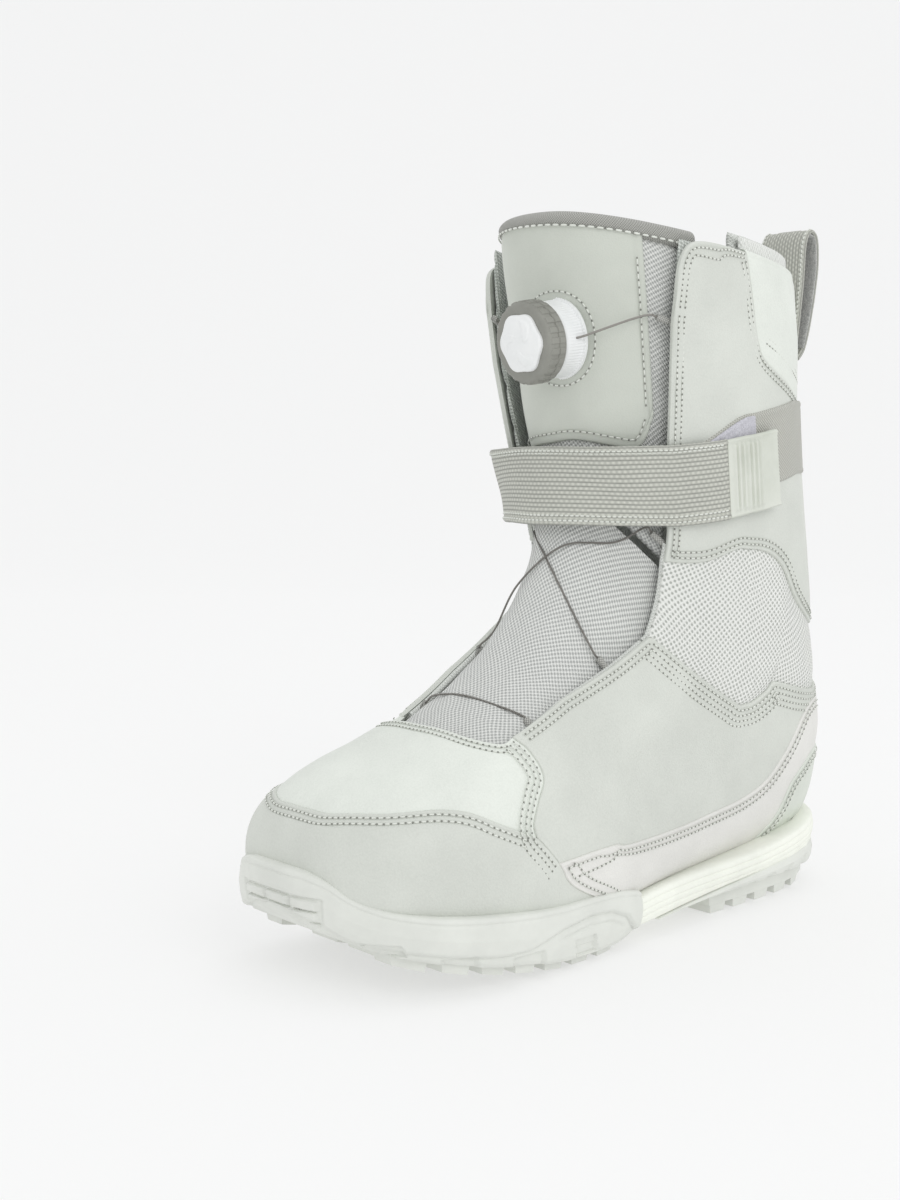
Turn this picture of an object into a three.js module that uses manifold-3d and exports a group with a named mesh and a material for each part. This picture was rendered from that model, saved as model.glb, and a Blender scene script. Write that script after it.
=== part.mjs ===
// Snowboard boot, wearer's left foot, closed with one dial and one ankle strap.
// Millimetres, +Z up, toe towards -Y, lateral side towards +X, origin on the ground under the boot.
import * as THREE from 'three';
import { mergeVertices } from 'three/addons/utils/BufferGeometryUtils.js';
import Module from 'manifold-3d';

const wasm = await Module();
wasm.setup();

// ---- driving dimensions ------------------------------------------------------------------

const FOOT_LENGTH = 291;      // upper, toe to heel
const BOOT_WIDTH = 110;       // upper at the ball of the foot
const CUFF_HEIGHT = 306;      // front of the cuff above the ground

const LEATHER = 2.2;          // outer panels
const STIFFENER = 1.2;        // toe puff and heel stiffener
const LINING = 1.8;           // padded mesh inside the flaps
const LINER = 6.2;            // inner boot wall
const TONGUE_SHELL = 2.0;     // smooth shield on the tongue
const TONGUE_PAD = 6.4;       // padding behind the shield
const TONGUE_MESH = 3.5;      // woven lower tongue
const SEAM_GAP = 0.7;         // between two panels, edge to edge
const LAYER_GAP = 0.6;        // between two layers
const CUP_GAP = 0.9;          // between the upper and the sole cup
const FIT = 0.3;              // between pieces that touch

const LACE = 1.0;             // steel lace diameter
const GUIDE_BORE = 1.5;
const GUIDE_OUTER = 2.2;
const LACE_CHANNEL = 2.6;     // room for the lace between flap and tongue

const STRAP_WIDTH = 35;
const STRAP_THICK = 1.6;
const ANCHOR_WIDTH = 34;
const ANCHOR_THICK = 1.4;
const RING_BAR = 2.6;
const RING_WIDTH = 15;

const DIAL_GRIP = 36.4;       // diameter of the rubber grip ring
const REEL_DIAMETER = 33;     // housing
const REEL_WALL = 3.6;
const REEL_HEIGHT = 11.5;     // housing above the shield
const KNOB_HEIGHT = 9.5;

const LUG_DEPTH = 4;
const LOOP_WIDTH = 25;        // webbing of the pull loop
const LOOP_THICK = 2;

// ---- the last: stations from the toe tip (0) over the instep to the cuff top (17) --------
// Each row is one section: the front or top rail (y, z), the back or bottom rail (y, z), the x
// of its ridge, lateral and medial edges, where its widest point lies between the rails, and
// how square its top and bottom halves are.

const SIZE_MADE = { length: 291, width: 110, height: 306 };
const ANKLE_LEVEL = 100;
const STATIONS = [
  [-143, 40, -143, 40, -8, -8, -8, 0.50, 2.2, 2.2],
  [-142, 53, -142, 33, -8, 14, -30, 0.50, 2.3, 2.4],
  [-137, 66, -137, 27, -7, 31, -42, 0.48, 2.4, 2.8],
  [-126, 76, -126, 23, -5, 44, -49, 0.42, 2.5, 3.2],
  [-109, 84, -106, 19, -3, 53, -53, 0.36, 2.6, 3.6],
  [-90, 91, -78, 15.5, -1, 57, -55, 0.32, 2.6, 3.8],
  [-72, 101, -47, 13, 0, 57, -52, 0.30, 2.6, 3.8],
  [-54, 114, -14, 13.5, 0, 54, -48, 0.30, 2.5, 3.6],
  [-39, 129, 22, 16, 0, 49, -45, 0.32, 2.3, 3.4],
  [-27, 146, 60, 18, 0, 45, -43, 0.36, 2.2, 3.2],
  [-19, 164, 98, 20, 0, 42, -42, 0.42, 2.1, 3.0],
  [-15, 182, 134, 28, 0, 42, -42, 0.46, 2.1, 2.6],
  [-14, 200, 148, 60, 0, 44, -44, 0.48, 2.1, 2.4],
  [-15, 218, 146, 98, 0, 46, -46, 0.50, 2.2, 2.3],
  [-17, 238, 140, 145, 0, 48, -48, 0.50, 2.3, 2.3],
  [-20, 259, 133, 195, 0, 50, -50, 0.50, 2.3, 2.3],
  [-24, 282, 129, 240, 0, 52, -52, 0.50, 2.3, 2.3],
  [-28, 306, 126, 286, 0, 53, -53, 0.50, 2.3, 2.3],
];
const TOP = STATIONS.length - 1;

const sizeX = (x) => x * BOOT_WIDTH / SIZE_MADE.width;
const sizeY = (y) => y * FOOT_LENGTH / SIZE_MADE.length;
const sizeZ = (z) => z <= ANKLE_LEVEL ? z
  : ANKLE_LEVEL + (z - ANKLE_LEVEL) * (CUFF_HEIGHT - ANKLE_LEVEL) / (SIZE_MADE.height - ANKLE_LEVEL);
const LAST = STATIONS.map(([fy, fz, by, bz, ridge, lat, med, ...shape]) =>
  [sizeY(fy), sizeZ(fz), sizeY(by), sizeZ(bz), sizeX(ridge), sizeX(lat), sizeX(med), ...shape]);

const clamp = (x, lo, hi) => Math.min(hi, Math.max(lo, x));
const mix = (a, b, t) => a + (b - a) * t;
const smooth = (x, lo, hi) => {
  const t = clamp((x - lo) / (hi - lo), 0, 1);
  return t * t * (3 - 2 * t);
};
const radians = (degrees) => degrees * Math.PI / 180;
const vec = (x, y, z) => new THREE.Vector3(x, y, z);

// Straight lines between [x, value] pairs.
function interpolate(pairs, x) {
  if (x <= pairs[0][0]) return pairs[0][1];
  for (let i = 1; i < pairs.length; i++) {
    if (x <= pairs[i][0]) {
      const t = (x - pairs[i - 1][0]) / (pairs[i][0] - pairs[i - 1][0]);
      return mix(pairs[i - 1][1], pairs[i][1], t);
    }
  }
  return pairs[pairs.length - 1][1];
}

// One row of the last at any station, by a Catmull-Rom curve; straight on past the top.
function sectionAt(s) {
  if (s > TOP) return LAST[TOP].map((v, k) => v + (s - TOP) * (v - LAST[TOP - 1][k]));
  const i = Math.min(Math.floor(Math.max(s, 0)), TOP - 1);
  const t = Math.max(s, 0) - i;
  return LAST[i].map((p1, k) => {
    const p0 = LAST[Math.max(i - 1, 0)][k];
    const p2 = LAST[i + 1][k];
    const p3 = LAST[Math.min(i + 2, TOP)][k];
    const v0 = (p2 - p0) / 2;
    const v1 = (p3 - p1) / 2;
    return (2 * p1 - 2 * p2 + v0 + v1) * t ** 3 + (3 * p2 - 3 * p1 - 2 * v0 - v1) * t * t + v0 * t + p1;
  });
}

// A point of the last: u is 0 on the ridge, positive on the lateral side, 180 under the sole or
// down the back. The section is a superellipse.
function lastPoint(s, u) {
  const [fy, fz, by, bz, ridge, lat, med, waist, square, squareLow] = sectionAt(s);
  const c = Math.cos(radians(u));
  const n = Math.sin(radians(u));
  const power = 2 / (c > 0 ? square : squareLow);
  const along = (c > 0 ? 1 - waist : waist) * Math.sign(c) * Math.abs(c) ** power;
  const across = Math.sign(n) * Math.abs(n) ** power;
  const half = n > 0 ? lat - ridge : ridge - med;
  return vec(ridge + half * across, mix(by, fy, waist + along), mix(bz, fz, waist + along));
}

function lastNormal(s, u) {
  const at = clamp(s, 0.05, TOP - 0.02);
  const alongS = lastPoint(at + 0.01, u).sub(lastPoint(at - 0.01, u));
  const alongU = lastPoint(at, u + 0.5).sub(lastPoint(at, u - 0.5));
  return alongU.cross(alongS).normalize();
}

// The flaps stand open: how far they stand off the last, most at the medial edge.
const FLARE_MEDIAL = [[6, 0], [8, 3], [11, 5], [13, 9], [15, 11], [17, 9]];
const FLARE_LATERAL = [[6, 0], [9, 1.5], [14, 3], [17, 3]];
function flare(s, u) {
  const a = Math.abs(u);
  const edge = a > 180 ? 0 : smooth(a, 110, 60) * smooth(a, 0, 45);
  return edge * interpolate(u < 0 ? FLARE_MEDIAL : FLARE_LATERAL, s);
}

// A point of the outer shell (with the flare) or of the inner pieces (without), d mm outwards.
const shell = (s, u, d) => lastPoint(s, u).addScaledVector(lastNormal(s, u), d + flare(s, u));
const inner = (s, u, d) => lastPoint(s, u).addScaledVector(lastNormal(s, u), d);

// The station at which the last has height z at this u.
function stationAt(z, u) {
  let lo = 8;
  let hi = TOP + 0.5;
  for (let k = 0; k < 30; k++) {
    const middle = (lo + hi) / 2;
    if (lastPoint(middle, u).z < z) lo = middle;
    else hi = middle;
  }
  return lo;
}

// ---- meshes --------------------------------------------------------------------------------

const boot = new THREE.Group();

const MATERIALS = {
  upper_leather: ['#d3dad3', 0.5],
  vamp_leather: ['#dfe5dd', 0.5],
  foxing_leather: ['#d2d3cb', 0.55],
  counter_leather: ['#c6cdc4', 0.5],
  outsole_rubber: ['#d9dbd4', 0.7],
  midsole_foam: ['#e9efe4', 0.65],
  board: ['#a8a49a', 0.85],
  woven_mesh: ['#dfe3dd', 0.8],
  tongue_mesh: ['#b9bbb8', 0.85],
  liner_fabric: ['#e4e6e2', 0.9],
  lining_mesh: ['#cfd4ce', 0.9],
  webbing: ['#c4c4b8', 0.85],
  binding: ['#a9aaa3', 0.8],
  felt: ['#c2c3bf', 0.95],
  lace_steel: ['#7d7468', 0.35, 0.8],
  white_plastic: ['#f1f2f3', 0.35],
  grip_rubber: ['#8f8f8a', 0.7],
  black_plastic: ['#1c1c1c', 0.45],
  tab_rubber: ['#dcdfd6', 0.6],
};
const material = {};
for (const [name, [color, roughness, metalness = 0]] of Object.entries(MATERIALS)) {
  material[name] = new THREE.MeshStandardMaterial({ name, color, roughness, metalness });
}

function add(name, slot, geometry) {
  const mesh = new THREE.Mesh(geometry, material[slot]);
  mesh.name = name;
  boot.add(mesh);
  return mesh;
}

function geometryFrom(points, faces) {
  const geometry = new THREE.BufferGeometry();
  const values = points.flatMap((p) => [p.x, p.y, p.z]);
  geometry.setAttribute('position', new THREE.Float32BufferAttribute(values, 3));
  geometry.setIndex(faces.flat());
  return geometry;
}

const average = (points) => points.reduce((sum, p) => sum.add(p), vec(0, 0, 0)).divideScalar(points.length);

const TOLERANCE = 1e-4;
function toSolid(geometry) {
  const plain = geometry.clone();
  plain.deleteAttribute('normal');
  plain.deleteAttribute('uv');
  const merged = mergeVertices(plain, TOLERANCE);
  return new wasm.Manifold(new wasm.Mesh({
    numProp: 3,
    vertProperties: new Float32Array(merged.attributes.position.array),
    triVerts: new Uint32Array(merged.index.array),
  }));
}

function fromSolid(solid) {
  const mesh = solid.getMesh();
  const geometry = new THREE.BufferGeometry();
  geometry.setAttribute('position', new THREE.BufferAttribute(new Float32Array(mesh.vertProperties), 3));
  geometry.setIndex(new THREE.BufferAttribute(new Uint32Array(mesh.triVerts), 1));
  return geometry;
}

// Two grids of points with the same rows and columns, joined round their rims into one body.
// around: the columns close on themselves, so only the first and last rows have rims.
// tip: the first row is closed by a cap on each grid instead of a rim.
function closeGrids(outside, inside, around = false, tip = false) {
  const rows = outside.length;
  const columns = outside[0].length;
  const points = [...outside.flat(), ...inside.flat()];
  const out = (j, i) => j * columns + (i % columns);
  const into = (j, i) => rows * columns + out(j, i);
  const faces = [];
  const quad = (a, b, c, d) => faces.push([a, b, c], [a, c, d]);
  const last = around ? columns : columns - 1;
  for (let j = 0; j < rows - 1; j++) {
    for (let i = 0; i < last; i++) {
      quad(out(j, i), out(j, i + 1), out(j + 1, i + 1), out(j + 1, i));
      quad(into(j, i), into(j + 1, i), into(j + 1, i + 1), into(j, i + 1));
    }
    if (!around) {
      quad(out(j, 0), out(j + 1, 0), into(j + 1, 0), into(j, 0));
      quad(out(j, last), into(j, last), into(j + 1, last), out(j + 1, last));
    }
  }
  if (tip) points.push(average(outside[0]), average(inside[0]));
  const caps = [points.length - 2, points.length - 1];
  for (let i = 0; i < last; i++) {
    if (tip) faces.push([out(0, i + 1), out(0, i), caps[0]], [into(0, i), into(0, i + 1), caps[1]]);
    else quad(out(0, i), into(0, i), into(0, i + 1), out(0, i + 1));
    quad(out(rows - 1, i), out(rows - 1, i + 1), into(rows - 1, i + 1), into(rows - 1, i));
  }
  return geometryFrom(points, faces);
}

// A solid through a list of closed sections with equal point counts, capped at both ends.
function loft(sections) {
  const count = sections[0].length;
  const points = sections.flat();
  const faces = [];
  for (let k = 0; k < sections.length - 1; k++) {
    for (let i = 0; i < count; i++) {
      const a = k * count + i;
      const b = k * count + (i + 1) % count;
      faces.push([a, b, b + count], [a, b + count, a + count]);
    }
  }
  const end = (sections.length - 1) * count;
  points.push(average(sections[0]), average(sections[sections.length - 1]));
  for (let i = 0; i < count; i++) {
    const next = (i + 1) % count;
    faces.push([next, i, points.length - 2], [end + i, end + next, points.length - 1]);
  }
  return outward(geometryFrom(points, faces));
}

// Turns a closed indexed mesh so that its faces point out.
function outward(geometry) {
  const index = geometry.index.array;
  const at = (k) => vec().fromBufferAttribute(geometry.attributes.position, index[k]);
  let volume = 0;
  for (let k = 0; k < index.length; k += 3) volume += at(k).dot(at(k + 1).cross(at(k + 2)));
  if (volume < 0) {
    for (let k = 0; k < index.length; k += 3) [index[k], index[k + 1]] = [index[k + 1], index[k]];
  }
  return geometry;
}

// ---- patches of the shell --------------------------------------------------------------------
// A patch is cut like a pattern piece: four seams, each a list of [s, u] points, filled in between.
// Near the toe tip the seams are turned into [s cos u, s sin u], where the tip is an ordinary point.

const seam = (points, steps) => new THREE.SplineCurve(points.map(([s, u]) => new THREE.Vector2(s, u)))
  .getPoints(steps).map((p) => [p.x, p.y]);
const mirrored = (side) => side.map(([s, u]) => [s, -u]);
const chain = (...seams) => seams.reduce((all, next) => all.concat(all.length ? next.slice(1) : next), []);
const reversed = (side) => [...side].reverse();
const toChart = ([s, u]) => [s * Math.cos(radians(u)), s * Math.sin(radians(u))];
const fromChart = ([p, q]) => [Math.hypot(p, q), Math.atan2(q, p) * 180 / Math.PI];

// bottom and top run the same way, left and right both from the bottom to the top.
function patch({ bottom, top, left, right }, chart = false) {
  const [low, high, start, end] = [bottom, top, left, right].map((side) => chart ? side.map(toChart) : side);
  const rows = start.length - 1;
  const columns = low.length - 1;
  const grid = start.map((_, j) => low.map((__, i) => {
    const a = i / columns;
    const b = j / rows;
    const point = [0, 1].map((k) => mix(low[i][k], high[i][k], b) + mix(start[j][k], end[j][k], a)
      - mix(mix(low[0][k], low[columns][k], a), mix(high[0][k], high[columns][k], a), b));
    return chart ? fromChart(point) : point;
  }));
  return grid;
}

// A panel of even thickness over a grid of [s, u]; its edges draw back by half the seam gap.
// Its columns run towards +u and its rows towards +s.
function panel(grid, dOut, dIn, skin = shell, gap = SEAM_GAP / 2) {
  const rows = grid.length;
  const columns = grid[0].length;
  const base = grid.map((row) => row.map(([s, u]) => skin(s, u, 0)));
  const normals = grid.map((row) => row.map(([s, u]) => lastNormal(s, u)));
  const pull = (j, i, dj, di) => {
    const step = base[j + dj][i + di].clone().sub(base[j][i]);
    return step.setLength(Math.min(gap, step.length() * 0.4));
  };
  const inset = base.map((row, j) => row.map((p, i) => {
    const moved = p.clone();
    if (j === 0) moved.add(pull(j, i, 1, 0));
    if (j === rows - 1) moved.add(pull(j, i, -1, 0));
    if (i === 0) moved.add(pull(j, i, 0, 1));
    if (i === columns - 1) moved.add(pull(j, i, 0, -1));
    return moved;
  }));
  const layer = (d) => inset.map((row, j) => row.map((p, i) =>
    p.clone().addScaledVector(normals[j][i], typeof d === 'function' ? d(...grid[j][i]) : d)));
  return closeGrids(layer(dOut), layer(dIn));
}

// A rectangular grid of [s, u].
const rectangle = (s0, s1, rows, u0, u1, columns) => Array.from({ length: rows + 1 }, (_, j) =>
  Array.from({ length: columns + 1 }, (__, i) => [mix(s0, s1, j / rows), mix(u0, u1, i / columns)]));

// ---- the seams ---------------------------------------------------------------------------------

const THROAT = [6.17, 38];            // corner of the throat on the lateral side
const SOLE_CORNER = [7.0, 128];       // where the quarter seam goes under the sole
const VAMP_CORNER = [5.66, 79];       // toe cap, vamp and quarter meet
const FOXING_CORNER = [5.95, 88];
const FLEX_LOW = 10.1;                // stations of the mesh belt at the throat edge
const FLEX_HIGH = 11.6;
const BACK = 180;

// Edge of the throat and of the flaps: u against s.
const EDGE_LATERAL = [[6.17, 38], [7.5, 43], [8.9, 52], [10.1, 59], [11.6, 57], [13.8, 60], [15.7, 64],
  [17, 70]];
const EDGE_MEDIAL = [[6.17, 38], [7.5, 35], [8.9, 42], [10.1, 50], [11.6, 54], [13.8, 56], [15.7, 58],
  [17, 62]];
const edgeOf = (side, s) => interpolate(side > 0 ? EDGE_LATERAL : EDGE_MEDIAL, s);

const quarterSeam = seam([THROAT, [6.27, 48], [6.25, 60], [5.94, 67], [5.68, 74], VAMP_CORNER], 5);
const bandSeam = [VAMP_CORNER, FOXING_CORNER];
const shankSeam = seam([FOXING_CORNER, [6.35, 101], [6.7, 114], SOLE_CORNER], 3);
const toeSeamHalf = seam([[2.15, 0], [2.28, 22], [3.06, 44], [4.08, 54], [4.57, 60], [5.03, 69],
  VAMP_CORNER], 7);
const toeFeatherHalf = seam([[1.15, 180], [1.6, 140], [3, 130], [5, 128], SOLE_CORNER], 7);
const foxingTop = seam([FOXING_CORNER, [6.8, 89], [7.64, 92], [8.95, 102], [10.1, 111], [11.05, 113],
  [12.0, 124], [12.5, 145], [12.65, BACK]], 20);
const heelFeather = seam([SOLE_CORNER, [8, 138], [9.75, 152]], 8);
const counterSeam = seam([[9.75, 152], [10.19, 138], [10.85, 124], [11.5, 132], [11.85, 146], [12.1, 165],
  [12.15, BACK]], 12);
const backFeather = seam([[9.75, 152], [10.5, 160], [10.95, BACK]], 7);
const meshLow = seam([[FLEX_LOW, 59], [10.39, 75], [10.75, 89], [10.95, 92], [11.47, 98], [11.8, 104],
  [12.49, 136], [12.9, 158], [13.0, BACK]], 13);
const meshHigh = seam([[FLEX_HIGH, 57], [12.22, 71], [13.07, 88], [13.4, 98], [13.47, 108], [13.27, 118],
  [13.3, 135], [13.45, 158], [13.5, BACK]], 13);
const rearSeam = seam([[17, 95], [16.41, 97], [15.99, 99], [15.79, 104], [15.69, 124], [15.6, 150],
  [15.55, BACK]], 10);
const topEdge = seam([[17, 70], [17, 95]], 3);

const straight = (from, to, steps) => Array.from({ length: steps + 1 }, (_, k) =>
  [mix(from[0], to[0], k / steps), mix(from[1], to[1], k / steps)]);
const back = (from, to, steps) => straight([from, BACK], [to, BACK], steps);
const edgeLine = (side, from, to, steps) => Array.from({ length: steps + 1 }, (_, k) => {
  const s = mix(from, to, k / steps);
  return [s, edgeOf(side, s)];
});
// The first point of a seam moved to the throat edge of this side.
const fromEdge = (side, line) => [[line[0][0], edgeOf(side, line[0][0])], ...line.slice(1)];

// ---- upper ---------------------------------------------------------------------------------------

const fullWidth = (half) => chain(reversed(mirrored(half)), half);   // medial end to lateral end

const toeGrid = patch({
  bottom: fullWidth(toeFeatherHalf),
  top: fullWidth(toeSeamHalf),
  left: mirrored(reversed(chain(bandSeam, shankSeam))),
  right: reversed(chain(bandSeam, shankSeam)),
}, true);
add('toe_cap', 'upper_leather', panel(toeGrid, 0, -LEATHER));

add('vamp', 'vamp_leather', panel(patch({
  bottom: fullWidth(toeSeamHalf),
  top: fullWidth(seam([[5.45, 0], [5.55, 22], [5.88, 36], THROAT], 7)),
  left: mirrored(reversed(quarterSeam)),
  right: reversed(quarterSeam),
}, true), 0, -LEATHER));

// Cuts the same panels for both sides; the medial ones run the other way round.
function sidePanel(name, slot, side, sides, dOut, dIn, gap) {
  let grid = patch(sides);
  if (side < 0) grid = grid.map((row) => reversed(mirrored(row)));
  add(name + (side > 0 ? '_lateral' : '_medial'), slot, panel(grid, dOut, dIn, shell, gap));
}

for (const side of [1, -1]) {
  sidePanel('foxing', 'foxing_leather', side, {
    bottom: chain(heelFeather, counterSeam),
    top: foxingTop,
    left: reversed(shankSeam),
    right: back(12.15, 12.65, 3),
  }, 0, -LEATHER, SEAM_GAP * 0.8);
  sidePanel('quarter', 'upper_leather', side, {
    bottom: foxingTop,
    top: chain(edgeLine(side, THROAT[0], FLEX_LOW, 7), fromEdge(side, meshLow)),
    left: reversed(chain(quarterSeam, bandSeam)),
    right: back(12.65, 13.0, 6),
  }, 0, -LEATHER);
  sidePanel('ankle_mesh', 'woven_mesh', side, {
    bottom: fromEdge(side, meshLow),
    top: fromEdge(side, meshHigh),
    left: edgeLine(side, FLEX_LOW, FLEX_HIGH, 3),
    right: back(13.0, 13.5, 3),
  }, 0, -LEATHER);
  sidePanel('cuff', 'upper_leather', side, {
    bottom: fromEdge(side, meshHigh),
    top: chain(fromEdge(side, topEdge), rearSeam),
    left: edgeLine(side, FLEX_HIGH, TOP, 7),
    right: back(13.5, 15.55, 7),
  }, 0, -LEATHER);
}

add('heel_counter', 'counter_leather', panel(patch({
  bottom: chain(backFeather, backFeather.map(([s, u]) => [s, 360 - u]).reverse()),
  top: chain(counterSeam.slice(5), reversed(counterSeam.slice(5).map(([s, u]) => [s, 360 - u]))),
  left: counterSeam.slice(0, 6),
  right: counterSeam.slice(0, 6).map(([s, u]) => [s, 360 - u]),
}), 0, -LEATHER));

add('cuff_rear', 'upper_leather', panel(patch({
  bottom: chain(rearSeam.slice(4), reversed(rearSeam.slice(4).map(([s, u]) => [s, 360 - u]))),
  top: straight([16.9, 95], [16.9, 265], 12),
  left: reversed(rearSeam.slice(0, 5)).map(([s, u]) => [Math.min(s, 16.9), u]),
  right: reversed(rearSeam.slice(0, 5)).map(([s, u]) => [Math.min(s, 16.9), 360 - u]),
}), 0, -LEATHER));

// ---- inside the foot ---------------------------------------------------------------------------

const FEATHER = [[1.15, 180], [1.6, 140], [3, 130], [5, 128], [7, 128], [8, 138], [9.75, 152], [10.5, 160]];
const bottomGrid = (s0, s1, rows, margin, columns) => Array.from({ length: rows + 1 }, (_, j) => {
  const s = mix(s0, s1, j / rows);
  const u = interpolate(FEATHER, s) + margin;
  return Array.from({ length: columns + 1 }, (__, i) => [s, mix(u, 360 - u, i / columns)]);
});
add('lasting_board', 'board', panel(bottomGrid(1.7, 10.4, 11, 0.6, 4), 0, -2, inner));

const underLeather = -LEATHER - LAYER_GAP;
const puffGrid = toeGrid.slice(0, -1).map((row) => row.slice(1, -1));
add('toe_puff', 'board', panel(puffGrid, underLeather, underLeather - STIFFENER));
add('heel_stiffener', 'board', panel(rectangle(10.7, 12.5, 5, 130, 230, 10),
  underLeather - LAYER_GAP, underLeather - LAYER_GAP - STIFFENER));

// The inner boot: its outside lies under the shell, lower where the tongue runs over it, and its
// wall is measured towards the middle of the section.
const TONGUE_DEPTH = LEATHER + LAYER_GAP + LACE_CHANNEL;
const LINER_DEPTH = LEATHER + STIFFENER + 3 * LAYER_GAP + 0.2;
const linerDepth = (s, u) => -mix(LINER_DEPTH, TONGUE_DEPTH + TONGUE_MESH + 2 * LAYER_GAP,
  smooth(s, 3.5, 4.4) * smooth(Math.abs(u), 86, 76));
function linerInside(s, point, wall) {
  const [fy, fz, by, bz, ridge, , , waist] = sectionAt(s);
  const middle = vec(ridge, mix(by, fy, waist), mix(bz, fz, waist));
  return point.clone().add(middle.sub(point).setLength(wall));
}
const LINER_COLUMNS = 24;
const linerRing = (s) => Array.from({ length: LINER_COLUMNS }, (_, i) => {
  const u = -180 + 360 * i / LINER_COLUMNS;
  return inner(s, u, linerDepth(s, u));
});
const linerOuter = [1.3, 2.2, 3.5, 4.4, 5.5, 6.6, 7.7, 8.8, 9.9];
const linerInner = [2.1, 2.7, 3.6, 4.4, 5.5, 6.6, 7.7, 8.8, 9.9];
add('liner_foot', 'liner_fabric', closeGrids(linerOuter.map(linerRing),
  linerInner.map((s) => linerRing(s).map((p) => linerInside(s, p, LINER))), true, true));

function linerPanel(name, s0, s1, rows, u0, columns, depth) {
  const grid = rectangle(s0, s1, rows, u0, 360 - u0, columns);
  const outer = grid.map((row) => row.map(([s, u]) => inner(s, u, depth(s, u > 180 ? u - 360 : u))));
  const wall = outer.map((row, j) => row.map((p) => linerInside(grid[j][0][0], p, LINER)));
  add(name, 'liner_fabric', closeGrids(outer, wall));
}
const FLEX_MIDDLE = 13.5;             // where the ankle part of the liner meets the cuff part
linerPanel('liner_ankle', 9.95, FLEX_MIDDLE, 5, 78, 16, linerDepth);
linerPanel('liner_cuff', FLEX_MIDDLE + 0.06, 17.25, 5, 95, 18, () => underLeather - LAYER_GAP);

const FOOTBED_THICK = 3;
const footbedTop = -(LINER_DEPTH + LINER + FIT + FOOTBED_THICK);
add('footbed', 'felt', panel(bottomGrid(2.9, 9.6, 8, 10, 4), footbedTop + FOOTBED_THICK, footbedTop, inner));

add('tongue_lower', 'tongue_mesh', panel(Array.from({ length: 10 }, (_, j) => {
  const s = mix(5.0, 11.4, j / 9);
  return Array.from({ length: 11 }, (__, i) => [s, mix(-edgeOf(-1, s) - 9, edgeOf(1, s) + 9, i / 10)]);
}), -TONGUE_DEPTH, -TONGUE_DEPTH - TONGUE_MESH, inner));

// ---- cuff lining and tongue ----------------------------------------------------------------------

const LINING_START = 11;              // degrees behind the flap edge, clear of the lace
const LINING_END = 92;
const TONGUE_HALF = 54;
const TONGUE_TOP = 16.72;
for (const side of [1, -1]) {
  const name = side > 0 ? 'lateral' : 'medial';
  const grid = Array.from({ length: 7 }, (_, j) => Array.from({ length: 6 }, (__, i) => {
    const front = mix(12.1, 16.75, j / 6);
    const rear = mix(13.3, 16.75, j / 6);
    const start = edgeOf(side, front) + LINING_START;
    return [mix(front, rear, i / 5), side * mix(start, LINING_END, i / 5)];
  }));
  const along = side > 0 ? grid : grid.map(reversed);
  add('lining_' + name, 'lining_mesh', panel(along, underLeather - 0.2, underLeather - 0.2 - LINING));

  const fold = rectangle(12.4, 16.7, 5, TONGUE_HALF + 0.2, 84, 4);
  const gusset = side > 0 ? fold : fold.map((row) => reversed(mirrored(row)));
  add('gusset_' + name, 'tongue_mesh', panel(gusset, -TONGUE_DEPTH, -TONGUE_DEPTH - 1.2, inner));
}

const SHIELD_DEPTH = 4.2;
const padDepth = SHIELD_DEPTH + TONGUE_SHELL + LAYER_GAP;
const shieldBottom = seam([[13.7, -TONGUE_HALF], [13.1, -38], [12.6, -16], [12.5, 0], [12.6, 16], [13.1, 38],
  [13.7, TONGUE_HALF]], 12);
add('tongue_shield', 'upper_leather', panel(patch({
  bottom: shieldBottom,
  top: straight([TONGUE_TOP, -TONGUE_HALF], [TONGUE_TOP, TONGUE_HALF], 12),
  left: straight([13.7, -TONGUE_HALF], [TONGUE_TOP, -TONGUE_HALF], 6),
  right: straight([13.7, TONGUE_HALF], [TONGUE_TOP, TONGUE_HALF], 6),
}), -SHIELD_DEPTH, -SHIELD_DEPTH - TONGUE_SHELL, inner));
add('tongue_pad', 'tongue_mesh', panel(rectangle(11.8, TONGUE_TOP, 6, -TONGUE_HALF, TONGUE_HALF, 10),
  -padDepth, -padDepth - TONGUE_PAD, inner));
const BINDING_PROUD = 0.6;
add('tongue_binding', 'binding', panel(rectangle(TONGUE_TOP, 17.02, 1, -58, 58, 12),
  BINDING_PROUD - SHIELD_DEPTH, -padDepth - TONGUE_PAD - BINDING_PROUD, inner));

// ---- sole ------------------------------------------------------------------------------------------
// Sections across the sole: y, lateral edge, medial edge, top of the rim, underside without lugs.

const OUTSOLE_ROWS = [
  [-147, 3, -19, 46.5, 31], [-145.5, 12, -28, 46, 28], [-142, 22, -37, 43.5, 25],
  [-137, 31, -44.5, 38.5, 21.5], [-129, 42, -51, 34.5, 18], [-117, 52, -55.5, 32, 15],
  [-104, 58, -58, 30.5, 12.5], [-88, 60.5, -59.5, 29, 9.5], [-72, 60.5, -57.5, 27.5, 7],
  [-55, 59, -54, 26.5, 4.6], [-38, 57, -50.5, 26.5, 4], [-22, 54.5, -48, 25.5, 4],
  [-12, 52.5, -47, 24, 5.5], [-6, 51, -46.5, 22.5, 7.5],
];
const MIDSOLE_ROWS = [
  [-6, 50, -46, 18.5, 7.3], [8, 49, -45, 20.5, 8], [25, 47.5, -44, 22, 9], [45, 46, -43.5, 23, 10],
  [65, 45, -43, 24, 10.5], [85, 43.5, -42, 25.5, 11], [105, 41, -40, 28, 11], [120, 37, -36.5, 30.5, 11],
  [131, 30.5, -31, 32.5, 11], [139, 21, -22, 33.5, 11.2], [143.5, 10, -12, 34, 11.6],
];
const column = (rows, k, y) => interpolate(rows.map((row) => [row[0], row[k]]), y);

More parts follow.
